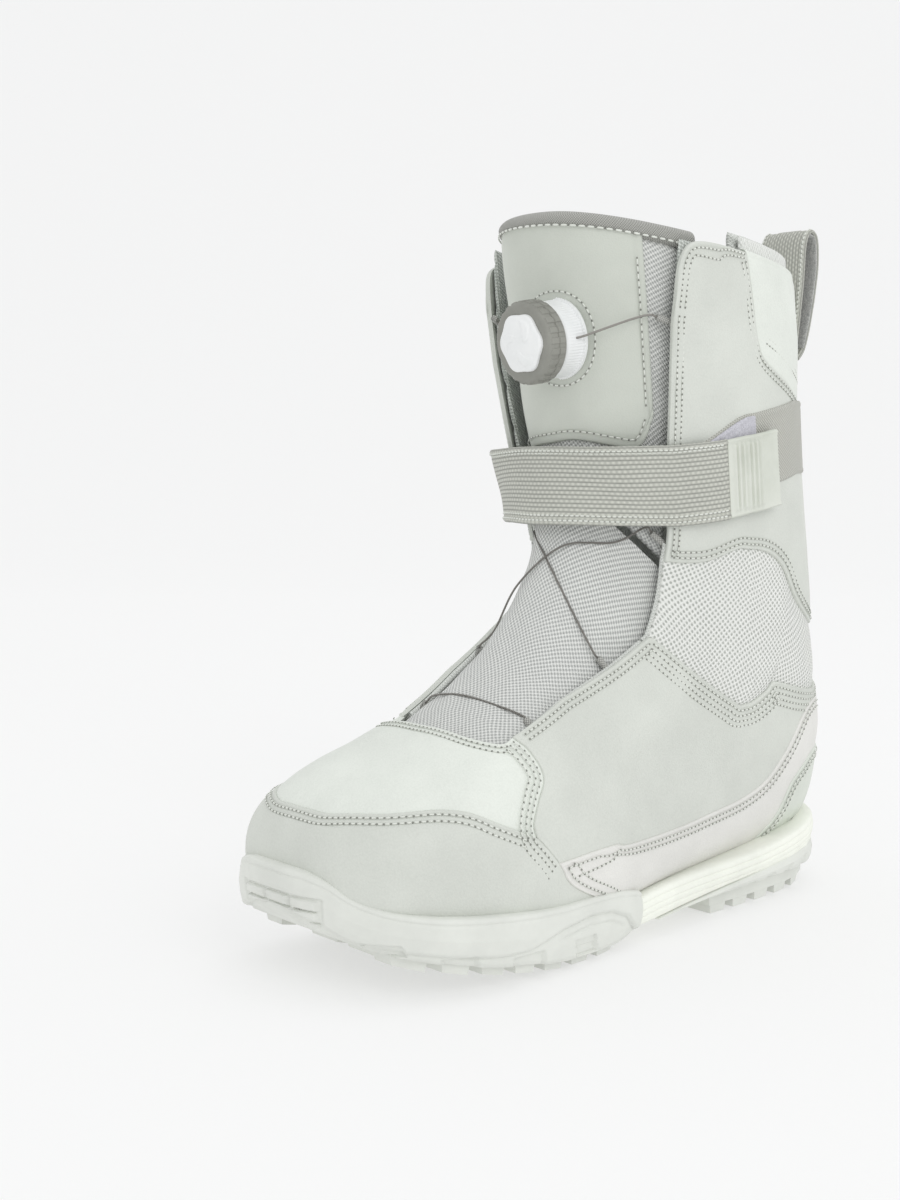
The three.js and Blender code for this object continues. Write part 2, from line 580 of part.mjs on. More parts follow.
function soleSection([y, lat, med, top, bottom]) {
  const low = Math.min(6, (lat - med) * 0.2);
  const rim = Math.min(2.5, (lat - med) * 0.1);
  const bulge = mix(bottom, top, 0.45);
  const outline = [[med + low, bottom], [lat - low, bottom], [lat - 1.2, mix(bottom, bulge, 0.5)],
    [lat, bulge], [lat - 0.8, top - 1.5], [lat - rim, top], [med + rim, top], [med + 0.8, top - 1.5],
    [med, bulge], [med + 1.2, mix(bottom, bulge, 0.5)]];
  return outline.map(([x, z]) => vec(sizeX(x), sizeY(y), z));
}

// The space the upper fills, with its clearance: it cuts the cup into the sole.
const CUTTER_STATIONS = [0.25, 0.6, 1, 1.5, 2, 2.6, 3.3, 4, 5, 6, 7, 8, 9, 9.6, 10.1, 10.5, 10.7, 10.9, 11.1,
  11.3, 11.6, 12];
const CUTTER_COLUMNS = 48;
const cutterTurns = Array.from({ length: CUTTER_COLUMNS }, (_, i) => -180 + 360 * i / CUTTER_COLUMNS);
const upperSpace = toSolid(loft(CUTTER_STATIONS.map((s) => cutterTurns.map((u) => shell(s, u, CUP_GAP)))));

// A block of tread between y0 and y1; its sides follow xLow(y) and xHigh(y), its foot follows floor(y).
function lug(y0, y1, xLow, xHigh, floor) {
  const draft = 0.8;
  const section = (y, inwards) => {
    const z = floor(y);
    const root = z + LUG_DEPTH + 1;
    return [[xLow(y) + draft, z], [xHigh(y) - draft, z], [xHigh(y), root], [xLow(y), root]]
      .map(([x, height]) => vec(sizeX(x), sizeY(y + (height === z ? inwards : 0)), height));
  };
  return toSolid(loft([section(y0, draft), section(y1, -draft)]));
}

const forefootFloor = (y) => Math.max(0, column(OUTSOLE_ROWS, 4, y) - LUG_DEPTH);
const lateralEdge = (inset) => (y) => column(OUTSOLE_ROWS, 1, y) - inset;
const medialEdge = (inset) => (y) => column(OUTSOLE_ROWS, 2, y) + inset;
const LUG_PITCH = 16;
const LUG_LENGTH = 11;
const EDGE_LUG = 17;                  // how far an edge lug reaches in
const EDGE_INSET = 5;
let forefoot = toSolid(loft(OUTSOLE_ROWS.map(soleSection))).subtract(upperSpace);
for (let y = -126; y < -20; y += LUG_PITCH) {
  const end = y + LUG_LENGTH;
  forefoot = forefoot.add(lug(y, end, lateralEdge(EDGE_LUG), lateralEdge(EDGE_INSET), forefootFloor));
  forefoot = forefoot.add(lug(y, end, medialEdge(EDGE_INSET), medialEdge(EDGE_LUG), forefootFloor));
  forefoot = forefoot.add(lug(y + 5, end + 2, () => -22, () => -3, forefootFloor));
  forefoot = forefoot.add(lug(y + 5, end + 2, () => 3, () => 22, forefootFloor));
}
add('outsole_forefoot', 'outsole_rubber', fromSolid(forefoot));

const rearRows = MIDSOLE_ROWS.map(([y, ...rest], k) => [k === 0 ? y + SEAM_GAP : y, ...rest]);
add('midsole', 'midsole_foam', fromSolid(toSolid(loft(rearRows.map(soleSection))).subtract(upperSpace)));

const HEEL_INSET = 6.5;
const heelLateral = (y) => column(MIDSOLE_ROWS, 1, y) - HEEL_INSET;
const heelMedial = (y) => column(MIDSOLE_ROWS, 2, y) + HEEL_INSET;
const heelPlate = [50, 70, 90, 108, 121, 131, 137].map((y) => {
  const top = column(MIDSOLE_ROWS, 4, y) - FIT;
  const [right, left] = [heelMedial(y), heelLateral(y)];
  return [[right, LUG_DEPTH], [left, LUG_DEPTH], [left, top], [right, top]]
    .map(([x, z]) => vec(sizeX(x), sizeY(y), z));
});
let heel = toSolid(loft(heelPlate));
for (let y = 51; y < 130; y += LUG_PITCH) {
  const end = Math.min(y + LUG_LENGTH, 136);
  heel = heel.add(lug(y, end, () => 4, (at) => heelLateral(at) - 0.4, () => 0));
  heel = heel.add(lug(y, end, (at) => heelMedial(at) + 0.4, () => -4, () => 0));
}
add('outsole_heel', 'outsole_rubber', fromSolid(heel));

// ---- lace and its guides ---------------------------------------------------------------------------

const circle = (radius, sides) => Array.from({ length: sides }, (_, i) =>
  new THREE.Vector2(radius * Math.cos(2 * Math.PI * i / sides), radius * Math.sin(2 * Math.PI * i / sides)));

function tube(points, outer, steps, bore = 0, sides = 8) {
  const shape = new THREE.Shape(circle(outer / 2, sides));
  if (bore) shape.holes.push(new THREE.Path(circle(bore / 2, sides)));
  const path = new THREE.CatmullRomCurve3(points, false, 'centripetal');
  return new THREE.ExtrudeGeometry(shape, { steps, bevelEnabled: false, extrudePath: path });
}

const LACE_DEPTH = -LEATHER - LAYER_GAP - GUIDE_OUTER / 2 - 0.15;
const LACE_RUN = 8.3;                 // degrees behind the flap edge
const LACE_OVER = 0.3;                // of a guide's length, how far a run goes past it
const GUIDE_HALF = 4.4;               // degrees each side of the flap edge

const laceAt = (side, s, behind) => shell(s, side * (edgeOf(side, s) + behind), LACE_DEPTH);
const GUIDES = [
  ['guide_toe_lateral', 1, 6.75], ['guide_toe_medial', -1, 6.6],
  ['guide_instep_lateral', 1, 8.9], ['guide_instep_medial', -1, 8.2],
  ['guide_ankle_lateral', 1, 11.95], ['guide_ankle_medial', -1, 11.95],
  ['guide_top_lateral', 1, 15.7], ['guide_top_medial', -1, 15.7],
];
const guideStation = Object.fromEntries(GUIDES.map(([name, , s]) => [name, s]));
for (const [name, side, s] of GUIDES) {
  const ends = [GUIDE_HALF, -GUIDE_HALF].map((behind) => laceAt(side, s, behind));
  add(name, 'binding', tube(ends, GUIDE_OUTER, 1, GUIDE_BORE));
}

function hiddenLace(name, side, low, high, steps) {
  const [from, to] = [guideStation[low], guideStation[high]];
  const points = Array.from({ length: 6 }, (_, k) => laceAt(side, mix(from, to, k / 5), LACE_RUN));
  add(name, 'lace_steel', tube(points, LACE, steps));
}
// Four points of the lace on the axis of a guide, from the flap side inwards.
function throughGuide(name, side) {
  const [from, to] = [GUIDE_HALF, -GUIDE_HALF].map((behind) => laceAt(side, guideStation[name], behind));
  return [-LACE_OVER, 0, 1, 1 + LACE_OVER].map((t) => from.clone().lerp(to, t));
}

for (const [side, name] of [[1, 'lateral'], [-1, 'medial']]) {
  hiddenLace('lace_flap_' + name, side, 'guide_ankle_' + name, 'guide_top_' + name, 14);
  hiddenLace('lace_instep_' + name, side, 'guide_toe_' + name, 'guide_instep_' + name, 8);
}

const ON_TONGUE = -TONGUE_DEPTH + LACE / 2 + 0.8;
const OVER_LACE = ON_TONGUE + LACE + 0.4;     // where one run crosses the other
const across = (points) => points.map(([s, u, d]) => inner(s, u, d));
add('lace_cross_lateral', 'lace_steel', tube([
  ...throughGuide('guide_ankle_lateral', 1),
  ...across([[11.2, 40, ON_TONGUE + 0.6], [10.3, 16, OVER_LACE], [9.3, -12, OVER_LACE],
    [8.55, -28, OVER_LACE]]),
  ...reversed(throughGuide('guide_instep_medial', -1)),
], LACE, 18));
add('lace_cross_medial', 'lace_steel', tube([
  ...throughGuide('guide_ankle_medial', -1),
  ...across([[11.3, -38, ON_TONGUE + 0.8], [10.6, -18, ON_TONGUE], [9.8, 8, ON_TONGUE],
    [9.2, 32, ON_TONGUE]]),
  ...reversed(throughGuide('guide_instep_lateral', 1)),
], LACE, 18));
add('lace_toe', 'lace_steel', tube([
  ...throughGuide('guide_toe_medial', -1),
  ...across([[6.55, -18, ON_TONGUE + 0.4], [6.55, 0, ON_TONGUE], [6.6, 20, ON_TONGUE]]),
  ...reversed(throughGuide('guide_toe_lateral', 1)),
], LACE, 14));

// ---- dial closure ------------------------------------------------------------------------------------
// Built round an axis w that stands on the shield; w is 0 on its face.

const DIAL_STATION = 14.84;
const DIAL_TURN = 11;                 // degrees to the lateral side of the tongue's middle
const DIAL_TILT = radians(8);         // leans with the shaft
const dialAxis = vec(0, -Math.cos(DIAL_TILT), -Math.sin(DIAL_TILT));
const dialFoot = inner(DIAL_STATION, DIAL_TURN, -SHIELD_DEPTH);
const dialTurnTo = new THREE.Quaternion().setFromUnitVectors(vec(0, 1, 0), dialAxis);
const dialPoint = (x, w) => dialFoot.clone().addScaledVector(dialAxis, w).add(vec(x, 0, 0));
const onDial = (geometry) =>
  geometry.applyQuaternion(dialTurnTo).translate(dialFoot.x, dialFoot.y, dialFoot.z);
const DIAL_SIDES = 28;
const lathe = (profile) =>
  onDial(new THREE.LatheGeometry(profile.map(([r, w]) => new THREE.Vector2(r, w)), DIAL_SIDES));
const turned = (profile) => fromSolid(toSolid(outward(mergeVertices(bare(lathe(profile)), TOLERANCE))));

function bare(geometry) {
  geometry.deleteAttribute('normal');
  geometry.deleteAttribute('uv');
  return geometry;
}

const REEL_FLOOR = 3;
const SPOOL_HEIGHT = 3.4;
const reelInside = REEL_DIAMETER / 2 - REEL_WALL;
const spoolLow = REEL_FLOOR + LAYER_GAP;
const spoolHigh = spoolLow + SPOOL_HEIGHT;
const driveLow = spoolHigh + LAYER_GAP;
const driveHigh = REEL_HEIGHT - 0.9;
const rotorRadius = reelInside - 0.6;
const STUB = 3.2;                     // splined stub of the knob in the drive disc
const portLevel = (spoolLow + spoolHigh) / 2;

const tongueSpace = toSolid(loft(Array.from({ length: 11 }, (_, k) =>
  cutterTurns.map((u) => inner(12.2 + 0.48 * k, u, FIT - SHIELD_DEPTH)))));
let reel = toSolid(turned([[0, -16], [REEL_DIAMETER / 2, -16], [REEL_DIAMETER / 2, REEL_HEIGHT],
  [reelInside, REEL_HEIGHT], [reelInside, REEL_FLOOR], [0, REEL_FLOOR]])).subtract(tongueSpace);
const port = new THREE.CylinderGeometry(LACE, LACE, REEL_DIAMETER + 10, 8);
port.rotateZ(Math.PI / 2).translate(...dialPoint(0, portLevel).toArray());
const portSolid = toSolid(port);
reel = reel.subtract(portSolid);
add('reel_housing', 'white_plastic', fromSolid(reel));

add('reel_spool', 'black_plastic', turned([[0, spoolLow], [rotorRadius, spoolLow],
  [rotorRadius, spoolLow + 0.7], [rotorRadius - 2.6, spoolLow + 1.1], [rotorRadius - 2.6, spoolHigh - 1.1],
  [rotorRadius, spoolHigh - 0.7], [rotorRadius, spoolHigh], [0, spoolHigh]]));
add('reel_drive_disc', 'black_plastic', turned([[STUB + 0.4, driveLow], [rotorRadius, driveLow],
  [rotorRadius, driveHigh], [STUB + 0.4, driveHigh], [STUB + 0.4, driveLow]]));

const knobLow = REEL_HEIGHT + LAYER_GAP;
const knobHigh = knobLow + KNOB_HEIGHT;
const capRadius = DIAL_GRIP / 2 - 5.6;
add('knob_grip', 'grip_rubber', turned([[capRadius + 0.4, knobLow], [DIAL_GRIP / 2, knobLow],
  [DIAL_GRIP / 2, knobHigh - 1], [DIAL_GRIP / 2 - 1, knobHigh], [capRadius + 0.4, knobHigh],
  [capRadius + 0.4, knobLow]]));
add('knob_cap', 'white_plastic', turned([[0, driveLow + 0.8], [STUB, driveLow + 0.8], [STUB, knobLow],
  [capRadius, knobLow], [capRadius, knobHigh + 1.6], [capRadius - 2, knobHigh + 2.4], [0, knobHigh + 2.4]]));

for (const [side, name] of [[1, 'lateral'], [-1, 'medial']]) {
  const exit = side * (reelInside + 0.7);
  add('lace_dial_' + name, 'lace_steel', tube([
    dialPoint(exit, portLevel), dialPoint(exit + side * 3.6, portLevel),
    ...reversed(throughGuide('guide_top_' + name, side)),
  ], LACE, 16));
}

// ---- ankle strap ---------------------------------------------------------------------------------------
// A band is a row of lines across its width: each gives a point at a height v above its middle.

function band(path, width, thick, rows = 2) {
  const lines = Array.from({ length: rows + 1 }, (_, j) => path.map((at) => at(width * (j / rows - 0.5))));
  const sides = lines.map((line) => line.map((p, i) => {
    const ahead = line[Math.min(i + 1, line.length - 1)].clone().sub(line[Math.max(i - 1, 0)]);
    return vec(ahead.y, -ahead.x, 0).normalize();
  }));
  const layer = (offset) => lines.map((line, j) =>
    line.map((p, i) => p.clone().addScaledVector(sides[j][i], offset)));
  return outward(closeGrids(layer(thick / 2), layer(-thick / 2)));
}

// Round the boot at height z, with the middle of the band d off the shell.
const around = (u, z, d) => (v) => shell(stationAt(z + v, u), u, d);

const STRAP_LEVEL = [[-91, 192], [0, 191.5], [60, 192.5], [79, 194.5], [101, 199.5]];
const STRAP_STAND = [[-91, 8], [-84, 7.6], [-68, 3.8], [-56, 2.4], [-30, 3.3], [0, 4], [30, 3.4], [56, 2.8],
  [66, 4.2], [72, 5.3], [81, 5.4], [101, 5.4]];
const ANCHOR_LEVEL = [[74, 194], [91, 206], [124, 213], [190, 213], [215, 208], [235, 200], [250, 193],
  [271, 192]];
const ANCHOR_STAND = 1.5;
const TAB_START = 81;
const TAB_END = 101;

// The ring lies flat beside the shell; a runs forwards, b outwards and v upwards from its middle.
const RING_TURN = -97;
const RING_LEVEL = 192;
const barClear = RING_BAR * 0.71 + FIT;                       // from the middle of a bar to a band round it
const barOffset = (RING_WIDTH - RING_BAR) / 2;
const ringStation = stationAt(RING_LEVEL, RING_TURN);
const ringMiddle = shell(ringStation, RING_TURN, 1.3 + STRAP_THICK + barClear);
const ringOut = lastNormal(ringStation, RING_TURN);
const ringUp = shell(ringStation + 0.2, RING_TURN, 5).sub(shell(ringStation - 0.2, RING_TURN, 5))
  .projectOnPlane(ringOut).normalize();
const ringAhead = ringUp.clone().cross(ringOut);
const onRing = (a, b) => (v) => ringMiddle.clone().addScaledVector(ringAhead, a).addScaledVector(ringOut, b)
  .addScaledVector(ringUp, v);

// Half a turn of a band through the ring, from the outer side of a bar to its inner side.
function wrapped(bar, thick) {
  const wrapRadius = barClear + thick / 2;
  return Array.from({ length: 7 }, (_, k) => {
    const angle = Math.PI * k / 6;
    return onRing(bar * (barOffset - wrapRadius * Math.sin(angle)), wrapRadius * Math.cos(angle));
  });
}

const strapPath = (from, to, steps) => Array.from({ length: steps + 1 }, (_, k) => {
  const u = mix(from, to, k / steps);
  return around(u, interpolate(STRAP_LEVEL, u), interpolate(STRAP_STAND, u));
});
add('strap_webbing', 'webbing', band([
  around(-88, RING_LEVEL, 2.4),
  ...reversed(wrapped(1, STRAP_THICK)),
  ...strapPath(-84, TAB_START - 0.5, 22),
], STRAP_WIDTH, STRAP_THICK));
add('strap_tab', 'tab_rubber', band(strapPath(TAB_START, TAB_END, 5), STRAP_WIDTH - 1, STRAP_THICK + 0.6));

const ANCHOR_START = 74;
add('strap_anchor', 'webbing', band([
  ...Array.from({ length: 21 }, (_, k) => {
    const u = mix(ANCHOR_START, 246, k / 20);
    return around(u, interpolate(ANCHOR_LEVEL, u), ANCHOR_STAND);
  }),
  ...reversed(wrapped(-1, ANCHOR_THICK)),
  onRing(-barOffset - 7, barClear + ANCHOR_THICK / 2),
], ANCHOR_WIDTH, ANCHOR_THICK));
const PATCH = 0.45;
add('loop_patch', 'felt', band(Array.from({ length: 4 }, (_, k) => {
  const u = mix(ANCHOR_START + 0.5, 94, k / 3);
  return around(u, interpolate(ANCHOR_LEVEL, u), ANCHOR_STAND + (ANCHOR_THICK + PATCH) / 2 + LAYER_GAP);
}), ANCHOR_WIDTH - 2, PATCH));

const ringHeight = STRAP_WIDTH + 2 * RING_BAR + 6;
const corners = (a, v) => [[-a, -v], [a, -v], [a, v], [-a, v]].map(([x, y]) => new THREE.Vector2(x, y));
const frameShape = new THREE.Shape(corners(RING_WIDTH / 2, ringHeight / 2));
frameShape.holes.push(new THREE.Path(corners(RING_WIDTH / 2 - RING_BAR, ringHeight / 2 - RING_BAR)));
const ringFrame = new THREE.ExtrudeGeometry(frameShape, { depth: RING_BAR, bevelEnabled: false });
ringFrame.translate(0, 0, -RING_BAR / 2);
const ring = add('strap_ring', 'black_plastic', ringFrame);
ring.quaternion.setFromRotationMatrix(new THREE.Matrix4().makeBasis(ringAhead, ringUp, ringOut));
ring.position.copy(ringMiddle);

// ---- pull loop at the back -------------------------------------------------------------------------------

const LOOP_FOOT = sizeZ(182);
const LOOP_PINCH = sizeZ(250);
const LOOP_TOP = sizeZ(315);
const LOOP_STAND = ANCHOR_STAND + ANCHOR_THICK / 2 + FIT;
const backAt = (z, d) => lastPoint(stationAt(z, BACK), BACK).y + d;
const stripRows = Array.from({ length: 7 }, (_, k) => mix(LOOP_FOOT, LOOP_PINCH, k / 6));
const strip = (d) => stripRows.map((z) => [1, -1].map((x) => vec(x * LOOP_WIDTH / 2, backAt(z, d), z)));
add('pull_loop_base', 'webbing', outward(closeGrids(strip(LOOP_STAND + 2 * LOOP_THICK), strip(LOOP_STAND))));

// The loop stands on the pinch stitch: y from the back of the cuff, z as a share of its height.
const loopFoot = backAt(LOOP_PINCH, LOOP_STAND + LOOP_THICK);
const loopLine = [[0, 0.02], [5, 0.12], [10.5, 0.4], [14.5, 0.72], [14, 0.94], [9.5, 0.985], [5.5, 0.88],
  [3.5, 0.6], [0.5, 0.3], [-1.8, 0.1]];
const loopCurve = new THREE.CatmullRomCurve3(loopLine.map(([y, share]) =>
  vec(loopFoot + y, mix(LOOP_PINCH, LOOP_TOP, share), 0)), true, 'centripetal');
const loopPoints = loopCurve.getSpacedPoints(28).slice(0, -1);
const loopSide = (offset) => loopPoints.map((p, i) => {
  const count = loopPoints.length;
  const ahead = loopPoints[(i + 1) % count].clone().sub(loopPoints[(i + count - 1) % count]);
  const normal = vec(ahead.y, -ahead.x, 0).normalize();
  return new THREE.Vector2(p.x + normal.x * offset, p.y + normal.y * offset);
});
const loopShape = new THREE.Shape(loopSide(LOOP_THICK / 2));
loopShape.holes.push(new THREE.Path(loopSide(-LOOP_THICK / 2)));
const loopGeometry = new THREE.ExtrudeGeometry(loopShape, { depth: LOOP_WIDTH, bevelEnabled: false });
const loop = add('pull_loop_ribbon', 'webbing', loopGeometry);
const loopBasis = new THREE.Matrix4().makeBasis(vec(0, 1, 0), vec(0, 0, 1), vec(1, 0, 0));
loop.quaternion.setFromRotationMatrix(loopBasis);
loop.position.set(-LOOP_WIDTH / 2, 0, 0);

// The origin lies on the ground under the middle of the boot's box.
boot.updateMatrixWorld(true);
const box = new THREE.Box3().setFromObject(boot, true);
const middle = box.getCenter(new THREE.Vector3());
boot.position.set(-middle.x, -middle.y, -box.min.z);

export default boot;
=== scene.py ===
import math

import bpy
import numpy as np
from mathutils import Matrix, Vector


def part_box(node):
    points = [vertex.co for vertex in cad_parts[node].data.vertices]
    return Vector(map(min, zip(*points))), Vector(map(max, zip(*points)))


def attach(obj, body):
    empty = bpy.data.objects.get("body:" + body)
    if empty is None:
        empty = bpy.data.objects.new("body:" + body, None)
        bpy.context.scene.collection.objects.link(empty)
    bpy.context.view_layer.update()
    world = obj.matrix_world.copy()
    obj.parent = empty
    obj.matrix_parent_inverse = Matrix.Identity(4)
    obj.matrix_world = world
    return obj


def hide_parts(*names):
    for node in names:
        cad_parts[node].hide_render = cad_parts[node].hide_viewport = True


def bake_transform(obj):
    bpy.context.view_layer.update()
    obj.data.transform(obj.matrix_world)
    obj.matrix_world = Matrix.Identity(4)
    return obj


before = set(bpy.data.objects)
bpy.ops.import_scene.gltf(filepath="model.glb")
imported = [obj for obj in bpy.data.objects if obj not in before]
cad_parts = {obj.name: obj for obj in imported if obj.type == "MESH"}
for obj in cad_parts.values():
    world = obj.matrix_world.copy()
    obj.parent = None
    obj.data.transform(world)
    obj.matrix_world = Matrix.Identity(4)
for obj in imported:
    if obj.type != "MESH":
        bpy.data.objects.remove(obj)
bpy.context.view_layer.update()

bl_info = {
    "name": "Snowboard boot looks",
    "version": (1, 0, 0),
    "blender": (4, 5, 0),
    "location": "3D View > Sidebar > Boot",
    "description": "Stitched leather, padding, lace, dial, strap and sole of a snowboard boot",
    "category": "Object",
}

# ---- the last: the surface every piece of the upper lies on, in millimetres ----------------

# front or top rail y z, back or bottom rail y z, x of ridge, lateral and medial edge, place of
# the widest point between the rails, squareness of the top and bottom halves
LAST = np.array([
    [-143, 40, -143, 40, -8, -8, -8, .50, 2.2, 2.2], [-142, 53, -142, 33, -8, 14, -30, .50, 2.3, 2.4],
    [-137, 66, -137, 27, -7, 31, -42, .48, 2.4, 2.8], [-126, 76, -126, 23, -5, 44, -49, .42, 2.5, 3.2],
    [-109, 84, -106, 19, -3, 53, -53, .36, 2.6, 3.6], [-90, 91, -78, 15.5, -1, 57, -55, .32, 2.6, 3.8],
    [-72, 101, -47, 13, 0, 57, -52, .30, 2.6, 3.8], [-54, 114, -14, 13.5, 0, 54, -48, .30, 2.5, 3.6],
    [-39, 129, 22, 16, 0, 49, -45, .32, 2.3, 3.4], [-27, 146, 60, 18, 0, 45, -43, .36, 2.2, 3.2],
    [-19, 164, 98, 20, 0, 42, -42, .42, 2.1, 3.0], [-15, 182, 134, 28, 0, 42, -42, .46, 2.1, 2.6],
    [-14, 200, 148, 60, 0, 44, -44, .48, 2.1, 2.4], [-15, 218, 146, 98, 0, 46, -46, .50, 2.2, 2.3],
    [-17, 238, 140, 145, 0, 48, -48, .50, 2.3, 2.3], [-20, 259, 133, 195, 0, 50, -50, .50, 2.3, 2.3],
    [-24, 282, 129, 240, 0, 52, -52, .50, 2.3, 2.3], [-28, 306, 126, 286, 0, 53, -53, .50, 2.3, 2.3]])
TOP = len(LAST) - 1
LEATHER = 2.2

_loop_low, _loop_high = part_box("pull_loop_base")
SHIFT = np.array([(_loop_low.x + _loop_high.x) / 2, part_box("outsole_forefoot")[0].y + 0.147, 0.0])


def smooth(x, lo, hi):
    """Rises from 0 at lo to 1 at hi along 3t^2 - 2t^3."""
    t = np.clip((np.asarray(x, float) - lo) / (hi - lo), 0, 1)
    return t * t * (3 - 2 * t)


def section(s):
    """A row of the last at any station: Catmull-Rom between rows, straight on past the top."""
    s = np.asarray(s, float)
    c = np.clip(s, 0, TOP)
    i = np.minimum(c.astype(int), TOP - 1)
    t = (c - i)[..., None]
    p0, p1 = LAST[np.maximum(i - 1, 0)], LAST[i]
    p2, p3 = LAST[i + 1], LAST[np.minimum(i + 2, TOP)]
    v0, v1 = (p2 - p0) / 2, (p3 - p1) / 2
    row = (2 * p1 - 2 * p2 + v0 + v1) * t**3 + (3 * p2 - 3 * p1 - 2 * v0 - v1) * t**2 + v0 * t + p1
    return row + np.maximum(s - TOP, 0)[..., None] * (LAST[TOP] - LAST[TOP - 1])


def last(s, u):
    """Superellipse section between the two rails; u runs from 0 on the ridge to 180 underneath."""
    s, u = np.broadcast_arrays(np.asarray(s, float), np.asarray(u, float))
    q = section(s)
    c, n = np.cos(np.radians(u)), np.sin(np.radians(u))
    power = 2 / np.where(c > 0, q[..., 8], q[..., 9])
    along = np.where(c > 0, 1 - q[..., 7], q[..., 7]) * np.sign(c) * np.abs(c) ** power
    half = np.where(n > 0, q[..., 5] - q[..., 4], q[..., 4] - q[..., 6])
    x = q[..., 4] + half * np.sign(n) * np.abs(n) ** power
    t = (q[..., 7] + along)[..., None]
    yz = q[..., 2:4] + (q[..., 0:2] - q[..., 2:4]) * t
    return np.concatenate([x[..., None], yz], -1)


def unit(v):
    return v / (np.linalg.norm(v, axis=-1, keepdims=True) + 1e-12)


def normal(s, u):
    """Outward normal of the last: its slope round the section crossed with its slope along it."""
    s, u = np.broadcast_arrays(np.asarray(s, float), np.asarray(u, float))
    a = np.clip(s, 0.05, TOP - 0.02)
    return unit(np.cross(last(a, u + 0.5) - last(a, u - 0.5), last(a + 0.01, u) - last(a - 0.01, u)))


def flare(s, u):
    """How far the open flaps stand off the last: most at their front edges, none behind the ankle."""
    s, u = np.broadcast_arrays(np.asarray(s, float), np.asarray(u, float))
    a = np.abs(u)
    medial = np.interp(s, [6, 8, 11, 13, 15, 17], [0, 3, 5, 9, 11, 9])
    lateral = np.interp(s, [6, 9, 14, 17], [0, 1.5, 3, 3])
    edge = np.where(a > 180, 0, (1 - smooth(a, 60, 110)) * smooth(a, 0, 45))
    return edge * np.where(u < 0, medial, lateral)


def shell(s, u, d):
    """The leather's surface, d mm outwards of the last and its flare."""
    return last(s, u) + normal(s, u) * (np.asarray(d) + flare(s, u))[..., None]


def inner(s, u, d):
    """A surface inside the flaps, d mm outwards of the last itself."""
    return last(s, u) + normal(s, u) * (np.asarray(d) + 0 * np.asarray(s, float))[..., None]


def station_at(z, u):
    """Halves the range of stations until the last has height z at this u."""
    z, u = np.broadcast_arrays(np.asarray(z, float), np.asarray(u, float))
    lo, hi = np.full(z.shape, 8.0), np.full(z.shape, TOP + 0.5)
    for _ in range(30):
        mid = (lo + hi) / 2
        below = last(mid, u)[..., 2] < z
        lo, hi = np.where(below, mid, lo), np.where(below, hi, mid)
    return lo


# ---- seams: lines of (s, u) ------------------------------------------------------------------

def spline(points, n=40):
    """A Catmull-Rom curve through the points, n steps between each two."""
    p = np.asarray(points, float)
    i, t = np.divmod(np.linspace(0, len(p) - 1, n * (len(p) - 1) + 1), 1)
    i = np.minimum(i.astype(int), len(p) - 2)
    t = (np.linspace(0, len(p) - 1, n * (len(p) - 1) + 1) - i)[:, None]
    p0, p1, p2, p3 = p[np.maximum(i - 1, 0)], p[i], p[i + 1], p[np.minimum(i + 2, len(p) - 1)]
    v0, v1 = (p2 - p0) / 2, (p3 - p1) / 2
    return (2 * p1 - 2 * p2 + v0 + v1) * t**3 + (3 * p2 - 3 * p1 - 2 * v0 - v1) * t**2 + v0 * t + p1


def straight(a, b, n=60):
    return np.asarray(a, float) + np.linspace(0, 1, n + 1)[:, None] * (np.asarray(b, float) - a)


def chain(*lines):
    return np.concatenate([lines[0]] + [line[1:] for line in lines[1:]])


def mirrored(line):
    return np.asarray(line) * [1, -1]


THROAT, SOLE_CORNER, VAMP_CORNER, FOXING_CORNER = (6.17, 38), (7.0, 128), (5.66, 79), (5.95, 88)
FLEX_LOW, FLEX_HIGH, BACK = 10.1, 11.6, 180.0
# stations of each flap's front edge and its degrees from the ridge, lateral and medial
EDGE = {1: ([6.17, 7.5, 8.9, 10.1, 11.6, 13.8, 15.7, 17], [38, 43, 52, 59, 57, 60, 64, 70]),
        -1: ([6.17, 7.5, 8.9, 10.1, 11.6, 13.8, 15.7, 17], [38, 35, 42, 49, 51, 50, 50.5, 55])}


def edge_u(side, s):
    return np.interp(s, *EDGE[side])


def edge_line(side, a, b, n=60):
    s = np.linspace(a, b, n + 1)
    return np.stack([s, edge_u(side, s)], -1)


QUARTER = spline([THROAT, (6.27, 48), (6.25, 60), (5.94, 67), (5.68, 74), VAMP_CORNER])
BAND = straight(VAMP_CORNER, FOXING_CORNER)
SHANK = spline([FOXING_CORNER, (6.35, 101), (6.7, 114), SOLE_CORNER])
TOE_HALF = spline([(2.15, 0), (2.28, 22), (3.06, 44), (4.08, 54), (4.57, 60), (5.03, 69), VAMP_CORNER])
THROAT_HALF = spline([(5.45, 0), (5.55, 22), (5.88, 36), THROAT])
FEATHER_HALF = spline([(1.15, 180), (1.6, 140), (3, 130), (5, 128), SOLE_CORNER])
FOXING_TOP = spline([FOXING_CORNER, (6.8, 89), (7.64, 92), (8.95, 102), (10.1, 111), (11.05, 113),
                     (12.0, 124), (12.5, 145), (12.65, BACK)])
HEEL_FEATHER = spline([SOLE_CORNER, (8, 138), (9.75, 152)])
COUNTER = spline([(9.75, 152), (10.19, 138), (10.85, 124), (11.5, 132), (11.85, 146), (12.1, 165),
                  (12.15, BACK)])
BACK_FEATHER = spline([(9.75, 152), (10.5, 160), (10.95, BACK)])
MESH_LOW = spline([(FLEX_LOW, 59), (10.39, 75), (10.75, 89), (10.95, 92), (11.47, 98), (11.8, 104),
                   (12.49, 136), (12.9, 158), (13.0, BACK)])
MESH_HIGH = spline([(FLEX_HIGH, 57), (12.22, 71), (13.07, 88), (13.4, 98), (13.47, 108), (13.27, 118),
                    (13.3, 135), (13.45, 158), (13.5, BACK)])
